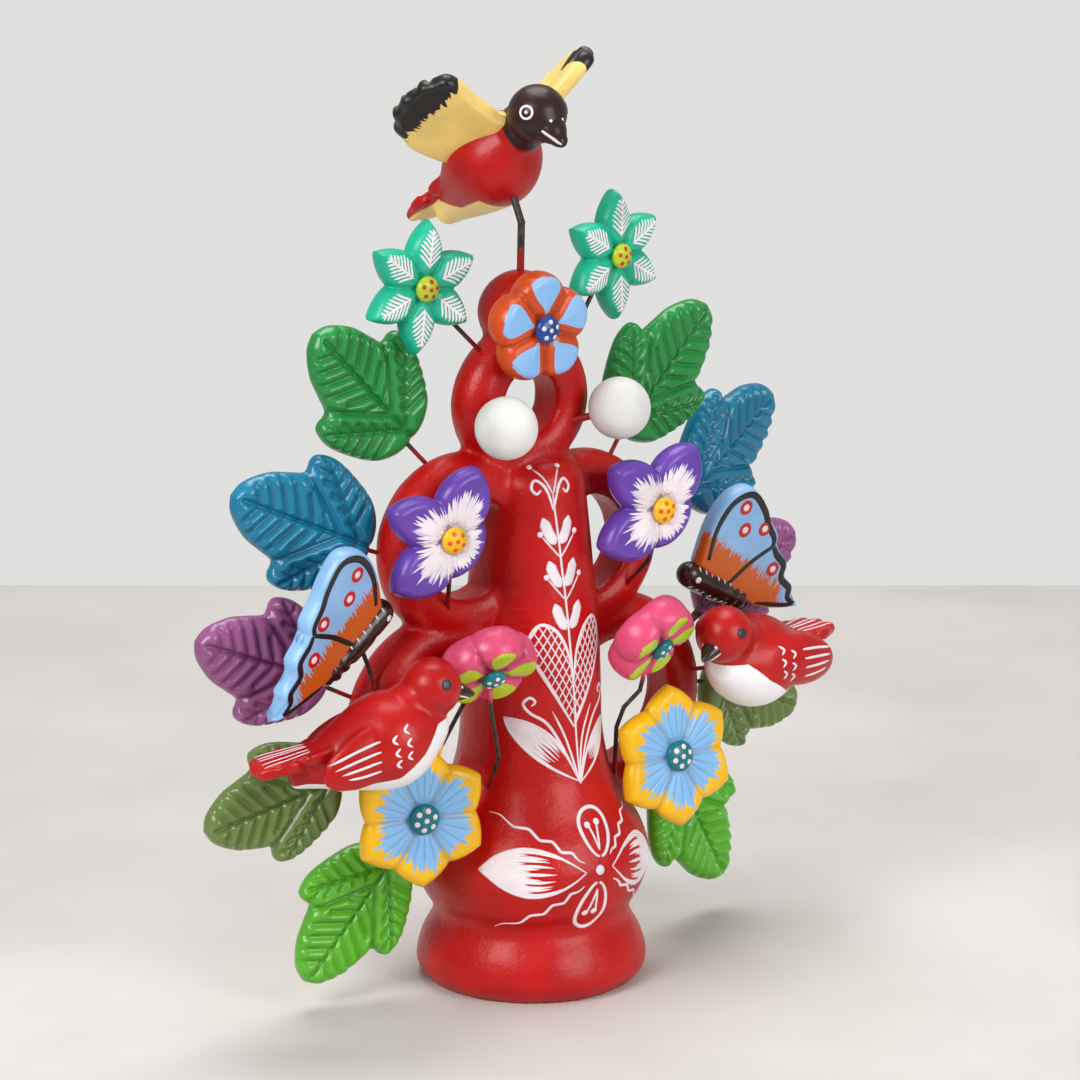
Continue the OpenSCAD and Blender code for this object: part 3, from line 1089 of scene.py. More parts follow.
def feathered(rng: np.random.Generator, slab: Slab, bead: float, reach: float, count: int) -> list[Stroke]:
    """White brush hairs that radiate from a flower's middle.

    Args:
        rng: what makes them uneven.
        slab: the flower's form.
        bead: the radius of its middle.
        reach: how far they go towards its edge.
        count: how many are drawn.
    Returns:
        The hairs.
    """
    made = []
    for k in range(count):
        a = 2 * math.pi * (k + rng.uniform(-0.4, 0.4)) / count
        edge = float(slab.reach(np.array([a]))[0])
        far = min(edge - 2.0, bead + (edge - bead) * reach * rng.uniform(0.6, 1.0))
        near = bead * 0.9 + rng.uniform(0, 2.5)
        if far - near < 1.5:
            continue
        bend = rng.uniform(-0.08, 0.08)
        made.append(Stroke(tuple((q * math.cos(a + bend * t), q * math.sin(a + bend * t))
                                 for t, q in ((0, near), (0.5, (near + far) / 2), (1, far))),
                           rng.uniform(0.5, 1.0), 0.6, 0.05, 3, 0.08))
    return made


class Butterfly:
    """A butterfly drawn flat, before its scale."""

    SCALE = 0.95
    UPPER = ((8, 18), (16, 26), (25, 26.5), (30.5, 19), (33, 12), (36.5, 5), (36, 1))
    OUTER = ((37.5, -3), (40.5, -8), (39.5, -13), (43, -18), (42.5, -22), (46, -27.5))
    LOWER = ((39, -26), (27, -21), (14, -10))
    LOWER_LINE = ((34, 0.5), (35.2, -3), (38.2, -8), (37.2, -13), (40.6, -18), (40, -21.5), (42.6, -25))
    SPOTS = {
        Side.LEFT: ((17.5, 18.5), (19.5, 10.5), (30, 4), (32, -8)),
        Side.RIGHT: ((22, 20), (21.5, 11.5), (30, 9), (33.5, -8)),
    }
    # The line its colours are measured from, and its rolled body's two ends
    SPINE = ((-3.0, 3.0), (25.0, -19.5))
    HEAD, END = np.array([-3.0, 3.0, 0]), np.array([23.0, -18.0, 0])

    def scaled(self, points: Sequence[Point2]) -> tuple:
        """Points at the butterfly's scale."""
        return tuple((x * self.SCALE, y * self.SCALE) for x, y in points)

    def way(self) -> np.ndarray:
        """The way from the head to the end of the body."""
        return (self.END - self.HEAD) / np.linalg.norm(self.END - self.HEAD)

    def side(self) -> np.ndarray:
        """The way across the body, in the plane."""
        return np.array([*left_of(self.way()), 0])

    def slab(self) -> Slab:
        """The wings' form, barely modelled."""
        edges = [smooth_line(q, 6) for q in (((2, 4),) + self.UPPER, self.OUTER, self.LOWER)]
        return Slab(np.concatenate(edges) * self.SCALE, (26 * self.SCALE, 0), 6.0,
                    lambda p: (np.full(len(p), -0.1), np.zeros(len(p))), rim=1.2)

    def values(self, flat: np.ndarray, front: np.ndarray) -> dict[str, np.ndarray]:
        """Where the second colour lies and the way the brush ran.

        Args:
            flat: the wings' points, drawn flat.
            front: which of them lie on their face.
        Returns:
            The values by name.
        """
        away = gap_to(flat, [self.SPINE])
        along = (flat - np.array(self.SPINE[0])) @ (np.array([26, -21]) / math.hypot(26, 21))
        return {"area": np.where(front, 14.5 - away - 0.1 * along, UNPAINTED),
                "brush": np.column_stack([along * 1.5, away * 0.07, away * 0])}

    def lines(self, slab: Slab) -> list[Stroke]:
        """The black lines round the wings and between them."""
        upper = []
        for x, y in ((3.5, 6),) + self.UPPER:
            off = np.array([x * self.SCALE - slab.middle[0], y * self.SCALE])
            size = np.linalg.norm(off)
            upper.append(np.array(slab.middle) + off * (size - 2.5) / size)
        lower = self.scaled(self.LOWER_LINE)
        return [Stroke(upper, 2.3, 0.6, 0.7, 6, 0.1), Stroke(lower, 2.3, 0.7, 0.6, 6, 0.1),
                Stroke((upper[-1],) + self.scaled(((24, -2), (14, -7))), 1.7, 0.8, 0.8, 6, 0.1),
                Stroke((lower[-1],) + self.scaled(((37, -23.4), (26, -18.6))), 1.5, 0.6, 0.4, 6, 0.1)]

    def roll(self, name: str) -> tuple[bpy.types.Object, np.ndarray]:
        """The tapered body, ridged behind its head.

        Args:
            name: the piece's name.
        Returns:
            The piece and its points.
        """
        piece = ball_of_clay(name, 48, 48)
        co = points_of(piece)
        t = np.sign(co[:, 2]) * np.abs(co[:, 2]) ** 0.5
        ridges = 0.1 * np.cos(t * 27) * np.clip((t + 0.5) * 3, 0, 1)
        radius = (4.2 - 0.5 * t) * (1 - np.abs(t) ** 8) ** 0.5 * (1 + ridges)
        angle = np.arctan2(co[:, 1], co[:, 0])
        half = np.linalg.norm(self.END - self.HEAD) / 2
        co = ((self.HEAD + self.END) / 2 + (t * half)[:, None] * self.way()
              + (radius * np.cos(angle))[:, None] * self.side()
              + (radius * np.sin(angle))[:, None] * np.array([0, 0, 1.0]))
        move_points(piece, co)
        return piece, co

    def dashes(self) -> list[Stroke]:
        """The short white strokes along both sides of the body."""
        way, side, made = self.way()[:2], self.side()[:2], []
        for i in range(9):
            for sign in (-1, 1):
                root = self.HEAD[:2] + way * (4 + i * 3.1) + side * sign * 3.7
                made.append(Stroke((root, root - side * sign * 0.5 + way * 0.3,
                                    root - side * sign * 1.0 + way * 0.4), 0.6))
        return made


# ---- The pieces as they hang -------------------------------------------------


class Workshop:
    """Makes every ornament, paints it, and ties it to its body in the frame."""

    BALL_RADIUS = 9.7
    BEAD_HEIGHT = 2.1
    HAIR_SEED, HAIR_COUNT = 7, 170

    def __init__(self) -> None:
        """Starts with no paints mixed."""
        self.paints: dict[str, bpy.types.Material] = {}

    def paint(self, paint: Paint) -> bpy.types.Material:
        """The material of a paint, mixed once."""
        if paint.name not in self.paints:
            self.paints[paint.name] = paint.make()
        return self.paints[paint.name]

    def tie(self, piece: bpy.types.Object, body: str, node: str | None = None) -> None:
        """Makes a piece ride with its body and stand for its CAD node.

        Args:
            piece: the piece.
            body: the body it moves with.
            node: the CAD node it stands for, if any.
        """
        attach(piece, body)
        if node:
            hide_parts(node)
        log.info("%s rides on %s", piece.name, body)

    def set_up(self, piece: bpy.types.Object, where: Matrix, paint: Paint, body: str, slot: str,
               node: str | None = None) -> None:
        """Places and paints a piece, then ties it.

        Args:
            piece: a mesh drawn in millimetres.
            where: its place in the frame.
            paint: its paint.
            body, node: as for tie. slot: not used.
        """
        self.tie(set_in_place(piece, where, self.paint(paint)), body, node)

    def lay(self, brush: Brush, name: str, where: Matrix, paint: Paint, body: str, slot: str) -> None:
        """Makes a mesh of a brush's marks, then ties it.

        Args:
            brush: the brush.
            name: the mesh's name.
            where: its place in the frame.
            paint: its paint.
            body: as for tie. slot: not used.
        """
        self.tie(brush.finish(name, where, self.paint(paint)), body)

    def flower(self, node: str, body: str, where: Matrix, form: Flower, paint: Paint, slot: str) -> None:
        """Presses, paints and hangs a flower.

        Args:
            node: the CAD node it stands for.
            body: the body it moves with.
            where: its place in the frame.
            form: its shape and brush work.
            paint: its petals' paint.
            slot: not used.
        """
        slab = form.slab()
        piece, flat, front = slab.press(f"{node}_petals")
        note_values(piece, **form.values(flat, front, slab))
        self.set_up(piece, where, paint, body, slot, node)
        self.flower_middle(node, body, where, form, slot)
        if form.veined:
            veins = Brush(on_slab(slab))
            for mark in form.vein_marks():
                veins.stroke(mark)
            self.lay(veins, f"{node}_veins", where, SLIP, body, slot)
        if form.inner_shape == "feathers":
            hairs = Brush(on_slab(slab))
            rng = np.random.default_rng(self.HAIR_SEED)
            for mark in feathered(rng, slab, form.bead, form.inner, self.HAIR_COUNT):
                hairs.stroke(mark)
            self.lay(hairs, f"{node}_hairs", where, SLIP, body, slot)

    def flower_middle(self, node: str, body: str, where: Matrix, form: Flower, slot: str) -> None:
        """Rounds a flower's raised middle and dots it.

        Args:
            node, body, where, form, slot: as for flower.
        """
        size = np.array([form.bead * form.oval, form.bead])
        base = form.thick / 2 + 0.15
        piece = ball_of_clay(f"{node}_middle", 48, 24)
        move_points(piece, points_of(piece) * [*size, self.BEAD_HEIGHT] + [0, 0, base])
        tint, dot_paint = BEADS[form.middle]
        self.set_up(piece, where, Paint(f"{form.middle.name.lower()}_bead", tint, rough=0.28), body, slot)

        def dome(p: np.ndarray) -> tuple[np.ndarray, np.ndarray]:
            """Place and normal of drawn points on the middle."""
            q = p / size
            z = np.sqrt(np.clip(1 - (q ** 2).sum(1), 0.01, 1))
            n = np.column_stack([q / size, z / self.BEAD_HEIGHT])
            return np.column_stack([p, z * self.BEAD_HEIGHT + base]), n / np.linalg.norm(n, axis=1)[:, None]
        brush = Brush(dome)
        brush.dot(Dot((0, 0), form.bead * 0.17, 0.14))
        count = 5 if form.bead < 4.5 else 6
        for k in range(count):
            a = k * 2 * math.pi / count + 0.3
            at = (size[0] * 0.62 * math.cos(a), size[1] * 0.62 * math.sin(a))
            brush.dot(Dot(at, form.bead * 0.18, 0.14))
        self.lay(brush, f"{node}_dots", where, dot_paint, body, slot)

    def leaf(self, node: str, where: Matrix, length: float, paint: Paint) -> None:
        """Presses, paints and hangs a leaf.

        Args:
            node: the CAD node it stands for, which is also its body.
            where: its place in the frame.
            length: its length.
            paint: its paint.
        """
        piece, _, _ = Leaf(length).slab().press(f"{node}_blade")
        self.set_up(piece, where, paint, node, f"{node.rsplit('_', 1)[0]}_paint", node)

    def ball(self, node: str, at: Sequence[float]) -> None:
        """Rolls a matt white ball."""
        piece = ball_of_clay(f"{node}_clay", 96, 56)
        move_points(piece, points_of(piece) * self.BALL_RADIUS)
        hand_marks(piece, 9.0, 0.12)
        self.set_up(piece, Matrix.Translation(at), BALL, node, "ball_paint", node)

    def butterfly(self, node: str, where: Matrix) -> None:
        """Presses a butterfly's wings, lines and spots them, and rolls its body."""
        form, slot = Butterfly(), "butterfly_paint"
        slab = form.slab()
        piece, flat, front = slab.press(f"{node}_wings")
        note_values(piece, **form.values(flat, front))
        self.set_up(piece, where, WING_BLUE, node, slot, node)
        lines = Brush(on_slab(slab))
        for mark in form.lines(slab):
            lines.stroke(mark)
        self.lay(lines, f"{node}_lines", where, BLACK_LINE, node, slot)
        rings, pearls = Brush(on_slab(slab)), Brush(on_slab(slab))
        for at in form.scaled(form.SPOTS[Side(node.rsplit("_", 1)[1])]):
            rings.dot(Dot(at, 2.6, 0.12))
            pearls.dot(Dot(at, 1.25, 0.3))
        self.lay(rings, f"{node}_spots", where, RED_DOT, node, slot)
        self.lay(pearls, f"{node}_pearls", where, SLIP, node, slot)
        roll, co = form.roll(f"{node}_roll")
        self.set_up(roll, where, DARK_BROWN, node, slot)
        tree = BVHTree.FromPolygons([Vector(c) for c in co], [p.vertices[:] for p in roll.data.polygons])
        dashes = Brush(on_form(tree, lambda p: (Vector((p[0], p[1], 30)), Vector((0, 0, -1)))))
        for mark in form.dashes():
            dashes.stroke(mark)
        dashes.dot(Dot(form.HEAD[:2] + form.way()[:2] * 4.5, 1.1, 0.2))
        self.lay(dashes, f"{node}_dashes", where, SLIP, node, slot)


# ---- Birds -------------------------------------------------------------------


@dataclass
class Bird:
    """A plump clay bird, drawn level with its beak towards -Y."""

    head: tuple
    body_line: tuple = ((3.5, -30), (6.5, -22), (11, -12), (15, 0), (13.5, 9), (8, 17), (4, 21))
    head_size: float = 9.2
    wing_swell: float = 4.6
    wing_out: float = 10.2
    beak_way: tuple | None = None
    # Where the body begins behind, and its length
    back: float = -30.5
    span: float = 52
    voxel: float = 0.62

    def body(self) -> bpy.types.Object:
        """The round body, a ball drawn out along Y."""
        piece = ball_of_clay("bird_body", 72, 80)
        line = np.concatenate([[[0, self.back]], smooth_line(self.body_line), [[0, self.back + self.span]]])
        co = points_of(piece)
        forward = self.back + self.span * (np.arcsin(np.clip(co[:, 2], -1, 1)) / math.pi + 0.5)
        radius = np.interp(forward, line[:, 1], line[:, 0])
        angle = np.arctan2(co[:, 1], co[:, 0])
        move_points(piece, np.column_stack([radius * np.cos(angle), -forward, radius * np.sin(angle)]))
        return piece

    @staticmethod
    def tilted(nod: float, swing: float) -> Matrix:
        """A turn about X, then about Z, in degrees."""
        return Matrix.Rotation(math.radians(swing), 3, "Z") @ Matrix.Rotation(math.radians(nod), 3, "X")

    @staticmethod
    def aim(way: Sequence[float]) -> Matrix:
        """Turns a head that faces -Y to face another way."""
        back = -Vector(way).normalized()
        side = back.cross(Vector((0, -0.35, 0.94))).normalized()
        return Matrix((side, back, side.cross(back))).transposed()

    def lump(self, at: Sequence[float], size: Sequence[float],
             turn: Matrix | None = None) -> bpy.types.Object:
        """A rounded lump of clay.

        Args:
            at: its middle.
            size: its three radii.
            turn: its turn, if any.
        Returns:
            The lump.
        """
        piece = ball_of_clay("lump", 48, 32)
        turned = points_of(piece) * size @ np.array(turn or self.tilted(0, 0)).T
        move_points(piece, turned + np.array(at))
        return piece

    def tail(self) -> bpy.types.Object:
        """The flat tail with three rounded feather tips."""
        half = [(5, 12), (6.5, 25), (7.6, 35), (6.6, 39.4), (4.6, 40.2), (2.8, 38.8), (1.6, 40.6), (0, 41)]
        outline = np.array(half + [(-x, y) for x, y in half[-2::-1]], float)
        grooves = [((s * a, b), (s * c, d)) for a, b, c, d in ((2.4, 40, 1.8, 18), (5.0, 38, 3.8, 20))
                   for s in (-1, 1)]

        def relief(p: np.ndarray) -> tuple[np.ndarray, np.ndarray]:
            """Grooves between the feathers, and their depth, which the paint darkens as painted shade."""
            cut = np.exp(-(gap_to(p, grooves) / 0.7) ** 2)
            return -0.8 * cut, cut
        slab = Slab(outline, (0, 26), 4.8, relief, rim=2.0, segments=120, rings=50)
        piece, _, _ = slab.press("tail")
        piece.data.transform(Matrix.Translation((0, 0, 3.5)) @ turn_by(4, "X"))
        return piece

    def build(self, name: str, folded: bool) -> bpy.types.Object:
        """Joins the bird's lumps into one skin.

        Args:
            name: the piece's name.
            folded: whether its wings lie on its sides.
        Returns:
            The piece.
        """
        forward, height = self.head
        neck_mid = (0, -(10 + forward) / 2, (1 + height) / 2)
        parts = [self.body(), self.tail(), self.lump((0, -forward, height), (self.head_size,) * 3),
                 self.lump(neck_mid, (7.6, 10.5, 7.8), self.tilted(-30 if folded else 0, 0))]
        if folded:
            for s in (-1, 1):
                parts.append(self.lump((s * self.wing_out, 5, 1.2), (self.wing_swell, 18, 8.6),
                                       self.tilted(-6, s * -9)))
            parts.append(self.lump((0, -9, 6.5), (8.2, 15, 7.6), self.tilted(-24, 0)))
        if self.beak_way:
            turn = self.aim(self.beak_way)
            for reach, size in ((-5.8, (5.3, 7.2, 4.7)), (-11.4, (3.0, 3.9, 2.5))):
                spot = Vector((0, -forward, height)) + turn @ Vector((0, reach, -0.3 if reach > -8 else -0.8))
                parts.append(self.lump(spot, size, turn))
        return clay_union(name, parts, self.voxel, 14)


def bird_values(co: np.ndarray, edge: Sequence[Point2]) -> np.ndarray:
    """How far each point lies under a line drawn along the bird's side as [Y, Z]."""
    line = np.array(edge, float)
    return np.interp(co[:, 1], line[:, 0], line[:, 1]) - co[:, 2]


class Aviary:
    """Builds the birds and their brush work."""

    TOP_FACE = (0.01, -0.34, -0.94)
    TOP_HEAD = (29, -1)
    WING = ((2, -13), (11, -17), (20, -22), (25, -22.5), (28.2, -18.4), (30.6, -16), (31, -11.2),
            (32.6, -8.4), (31.6, -4), (32, -0.8), (29, 3), (28, 6), (23.5, 8.8), (19, 12), (8, 14), (2, 13))

    def __init__(self, shop: Workshop) -> None:
        """Takes the workshop that ties pieces to their bodies."""
        self.shop = shop

    def beak(self, name: str, head: Point2, where: Matrix, size: float, body: str, paint: Paint, slot: str,
             beak_way: Sequence[float] = (0, -1, 0)) -> BVHTree:
        """A short wedge beak that points the way the head faces.

        Args:
            name: the piece's name.
            head: how far forward and how high the head's middle lies.
            where: the bird's place in the frame.
            size: the beak's scale.
            body: as for tie. slot: not used.
            paint: its paint.
            beak_way: the way it points.
        Returns:
            A search tree of the beak in millimetres.
        """
        piece = ball_of_clay(name, 40, 24)
        co = points_of(piece)
        reach = 0.5 - 0.5 * co[:, 1]
        thin = 1 - 0.72 * reach
        co = np.column_stack([co[:, 0] * 4.8 * thin, co[:, 1] * 5.2 - 6.9,
                              co[:, 2] * 4.4 * thin - 2.4 * reach]) * size
        co = co @ np.array(Bird.aim(beak_way)).T
        move_points(piece, co + [0, -head[0], head[1]])
        tree = tree_of(piece)
        self.shop.set_up(piece, where, paint, body, slot)
        return tree

    def face_brush(self, tree: BVHTree, head: Vector, face: Sequence[float]) -> Brush:
        """A brush that paints a head by directions from its middle, as [side, forward, up].

        Args:
            tree: the head's form.
            head: its middle.
            face: the way it faces.
        Returns:
            The brush.
        """
        turn = Bird.aim(face)

        def look(point: np.ndarray) -> tuple[Vector, Vector]:
            """Looks at the head from a direction in its own frame."""
            way = turn @ Vector((point[0], -point[1], point[2])).normalized()
            return head + way * 40, -way
        return Brush(on_form(tree, look))

    def side_brush(self, tree: BVHTree, sign: int) -> Brush:
        """A brush that paints a side as [Y, Z]."""
        return Brush(on_form(tree, lambda p: (Vector((sign * LOOK_FROM, p[0], p[1])), Vector((-sign, 0, 0)))))

    def red_bird(self, node: str, where: Matrix) -> None:
        """A red bird with a white belly and stroked wings."""
        left = node.endswith("left")
        head, face, slot = (20, 10.5), (0, -0.94, -0.34), "bird_paint"
        bird = Bird(head, wing_swell=3.6 if left else 4.6, wing_out=10.2 if left else 12.4)
        piece = bird.build(f"{node}_clay", True)
        co = points_of(piece)
        white = bird_values(co, ((-31, -6), (-24, 0.5), (-17, 1.5), (-10, -4), (0, -8.6), (12, -7.2),
                                 (26, -2.2), (45, -1)))
        note_values(piece, area=white, brush=co * 0.4)
        tree = tree_of(piece)
        paint = Paint("bird_red", linear(182, 16, 13), coat=0.14, gleam=0.25,
                      layers=(Coat("area", WHITE, 0.12, 0.0, 0.3),))
        self.shop.set_up(piece, where, paint, node, slot, node)
        beak = self.beak(f"{node}_beak", head, where, 1.15, node, DARK_BROWN, slot, face)
        bill = self.face_brush(beak, Vector((0, -head[0], head[1])), face)
        for sign in (-1, 1):
            bill.dot(Dot((sign * 0.26, 0.95, 0.02), 0.5, 0.15))
            mouth = ((sign * 0.38, 0.9, -0.26), (sign * 0.24, 0.94, -0.28), (sign * 0.08, 0.97, -0.3))
            bill.stroke(Stroke(mouth, 0.6, 0.6, 0.5))
        self.shop.lay(bill, f"{node}_bill_marks", where, SLIP, node, slot)
        for sign, tag in ((-1, "a"), (1, "b")):
            brush = self.side_brush(tree, sign)
            for k in range(4):
                feather = ((2.5 + k * 0.8, 5.2 - k * 3.0), (11, 5.0 - k * 2.7), (20 - k * 1.5, 4.0 - k * 2.0))
                brush.stroke(Stroke(feather, 0.85, 0.5, 0.1, 6))
            for y, z in ((-6.5, 5.5), (-6, 1.5), (-5, -2.4), (-2, 4), (-1.6, 0), (-1, -3.6)):
                scale = ((y - 0.8, z + 1.35), (y + 0.9, z + 0.2), (y - 0.2, z - 1.35))
                brush.stroke(Stroke(scale, 0.8, 0.4, 0.2))
            self.shop.lay(brush, f"{node}_strokes_{tag}", where, SLIP, node, slot)
            eye = self.side_brush(tree, sign)
            eye.dot(Dot((-23, 12.4), 1.7, 0.35))
            self.shop.lay(eye, f"{node}_eye_{tag}", where, SLATE, node, slot)
        top = Brush(on_form(tree, lambda p: (Vector((p[0], p[1], LOOK_FROM)), Vector((0, 0, -1)))))
        for x in (-5.6, -2.4, 0.4, 3.2, 6.0):
            top.stroke(Stroke(((x * 0.7, 22), (x * 0.9, 30), (x, 37)), 0.6, 0.5, 0.2, 5))
        self.shop.lay(top, f"{node}_tail_lines", where, SLIP, node, slot)

    def wing(self, node: str, where: Matrix, mirrored: bool, tag: str, rise: float, nose_down: float,
             sweep: float) -> None:
        """A spread yellow wing with grooved feathers and black tips.

        Args:
            node: the bird.
            where: its place in the frame.
            mirrored: whether the wing is on the bird's other side.
            tag: the end of the piece's name.
            rise: how far its tip is raised, in degrees.
            nose_down: how far its front edge dips.
            sweep: how far it is swept back.
        """
        outline = np.concatenate([[(-4, -13)], smooth_line(self.WING, 5), [(-4, 13)]])
        fan = [((8, -2 + k * 1.6), (34, -22 + k * 6.2)) for k in range(6)]

        def relief(p: np.ndarray) -> tuple[np.ndarray, np.ndarray]:
            """Grooves that fan out to the tips, and their depth, which the paint darkens as painted shade."""
            near = gap_to(p, fan)
            cut = np.exp(-(near / 0.8) ** 2) * np.clip((p[:, 0] - 9) / 6, 0, 1)
            return 0.4 * (1 - cut) - 1.3 * cut, 0.6 * cut
        slab = Slab(outline, (14, -2), 5.0, relief, rim=2.2)
        piece, flat, front = slab.press(f"{node}_wing_{tag}")
        off = flat - [4, 0]
        angle, r = np.arctan2(off[:, 1], off[:, 0]), np.hypot(off[:, 0], off[:, 1])
        tips = flat[:, 0] - 22.5 - 0.12 * (flat[:, 1] + 4)
        if not mirrored:
            tips = np.minimum(tips, -flat[:, 1] - 10)
        note_values(piece, area=tips,
                    brush=np.column_stack([np.cos(angle) * 16, np.sin(angle) * 16, r * 0.06]))
        spot = (where @ flip(mirrored) @ Matrix.Translation((8, -10, 1)) @ turn_by(sweep, "Z")
                @ turn_by(-rise, "Y") @ turn_by(nose_down, "X") @ Matrix.Translation((0, 0, 2.5)))
        paint = Paint("wing_yellow", linear(250, 216, 126), rough=0.34,
                      layers=(Coat("area", linear(26, 24, 26), 0.2, 9.0),))
        self.shop.set_up(piece, spot, paint, "top_bird", "top_bird_paint")

    def top_face(self, tree: BVHTree, where: Matrix) -> None:
        """White-ringed eyes, nostrils and the mouth line of the bird on top."""
        head = Vector((0, -self.TOP_HEAD[0], self.TOP_HEAD[1]))
        parts = (("ring", 2.3, 0.12, SLIP), ("iris", 1.65, 0.3, BLACK_LINE), ("pupil", 0.6, 0.5, SLIP))
        for part, radius, body, paint in parts:
            brush = self.face_brush(tree, head, self.TOP_FACE)
            for sign in (-1, 1):
                brush.dot(Dot((sign * 0.87, 0.3, 0.39), radius, body))
                if part == "ring":
                    brush.dot(Dot((sign * 0.25, 0.88, 0.4), 0.5, 0.2))
                    mouth = ((sign * 0.49, 0.87, 0.05), (sign * 0.26, 0.965, 0.0), (sign * 0.07, 1, -0.04))
                    brush.stroke(Stroke(mouth, 0.95, 0.7, 0.6, 6))
            self.shop.lay(brush, f"top_bird_{part}", where, paint, "top_bird", "top_bird_paint")

    def top_bird(self, where: Matrix) -> None:
        """The bird on top: dark head, spread wings and a tail yellow underneath."""
        bird = Bird(self.TOP_HEAD, beak_way=self.TOP_FACE)
        piece = bird.build("top_bird_clay", False)
        co = points_of(piece)
        chin = np.where(co[:, 1] < -22, -2 - co[:, 2] - 8, UNPAINTED)
        hood = np.maximum(11.4 - np.linalg.norm(co - [0, -28.6, -2.2], axis=1), chin)
        tail = np.minimum(co[:, 1] - 2, bird_values(co, ((0, -12), (12, -7.5), (22, 2), (45, 6.4))))
        note_values(piece, area=tail, area2=hood, brush=co * 0.4)
        tree = tree_of(piece)
        paint = Paint("top_bird_red", linear(178, 15, 13), rough=0.34, coat=0.14, gleam=0.25,
                      layers=(Coat("area", linear(250, 216, 126), 0.3),
                              Coat("area2", linear(44, 24, 22), 0.15)))
        self.shop.set_up(piece, where, paint, "top_bird", "top_bird_paint", "top_bird")
        self.top_face(tree, where)
        self.wing("top_bird", where, True, "a", 24, 0, 0)
        self.wing("top_bird", where, False, "b", 34, 17, -20)


# ---- Stems, stage and camera -------------------------------------------------


def stem_finish(name: str, mouth: Sequence[float], clay: tuple, tip: tuple,
                reach: float) -> bpy.types.Material:
    """Dark iron wire, touched with clay paint at its mouth and with its ornament's paint at its far end.

    Args:
        name: the material's name.
        mouth: where it leaves the clay, in metres.
        clay, tip: the colours at its two ends.
        reach: how far from the mouth its far end is painted.
    Returns:
        The material.
    """
    s = Shader(name)
    here = s.place()
    off = s.node("ShaderNodeVectorMath", {"operation": "DISTANCE"}, {0: here, 1: tuple(mouth)}, "Value")
    rust = s.grain(here, 500.0, 4.0)
    iron = s.mix(s.ramp(rust, 0.4, 0.7), linear(44, 38, 36), linear(84, 66, 56))
    near = s.ramp(off * -1.0 + rust * 0.004, -0.006, -0.003)
    far = s.ramp(off + rust * 0.006, reach - 0.004, reach)
    s.feed(s.bsdf.inputs["Base Color"], s.mix(far, s.mix(near, iron, clay), tip))
    s.bsdf.inputs["Metallic"].default_value = 0.35
    s.feed(s.bsdf.inputs["Roughness"], 0.4 + rust * 0.2)
    bump = s.node("ShaderNodeBump", {}, {"Height": rust, "Strength": 0.3, "Distance": 0.0002})
    s.feed(s.bsdf.inputs["Normal"], bump)
    return s.material


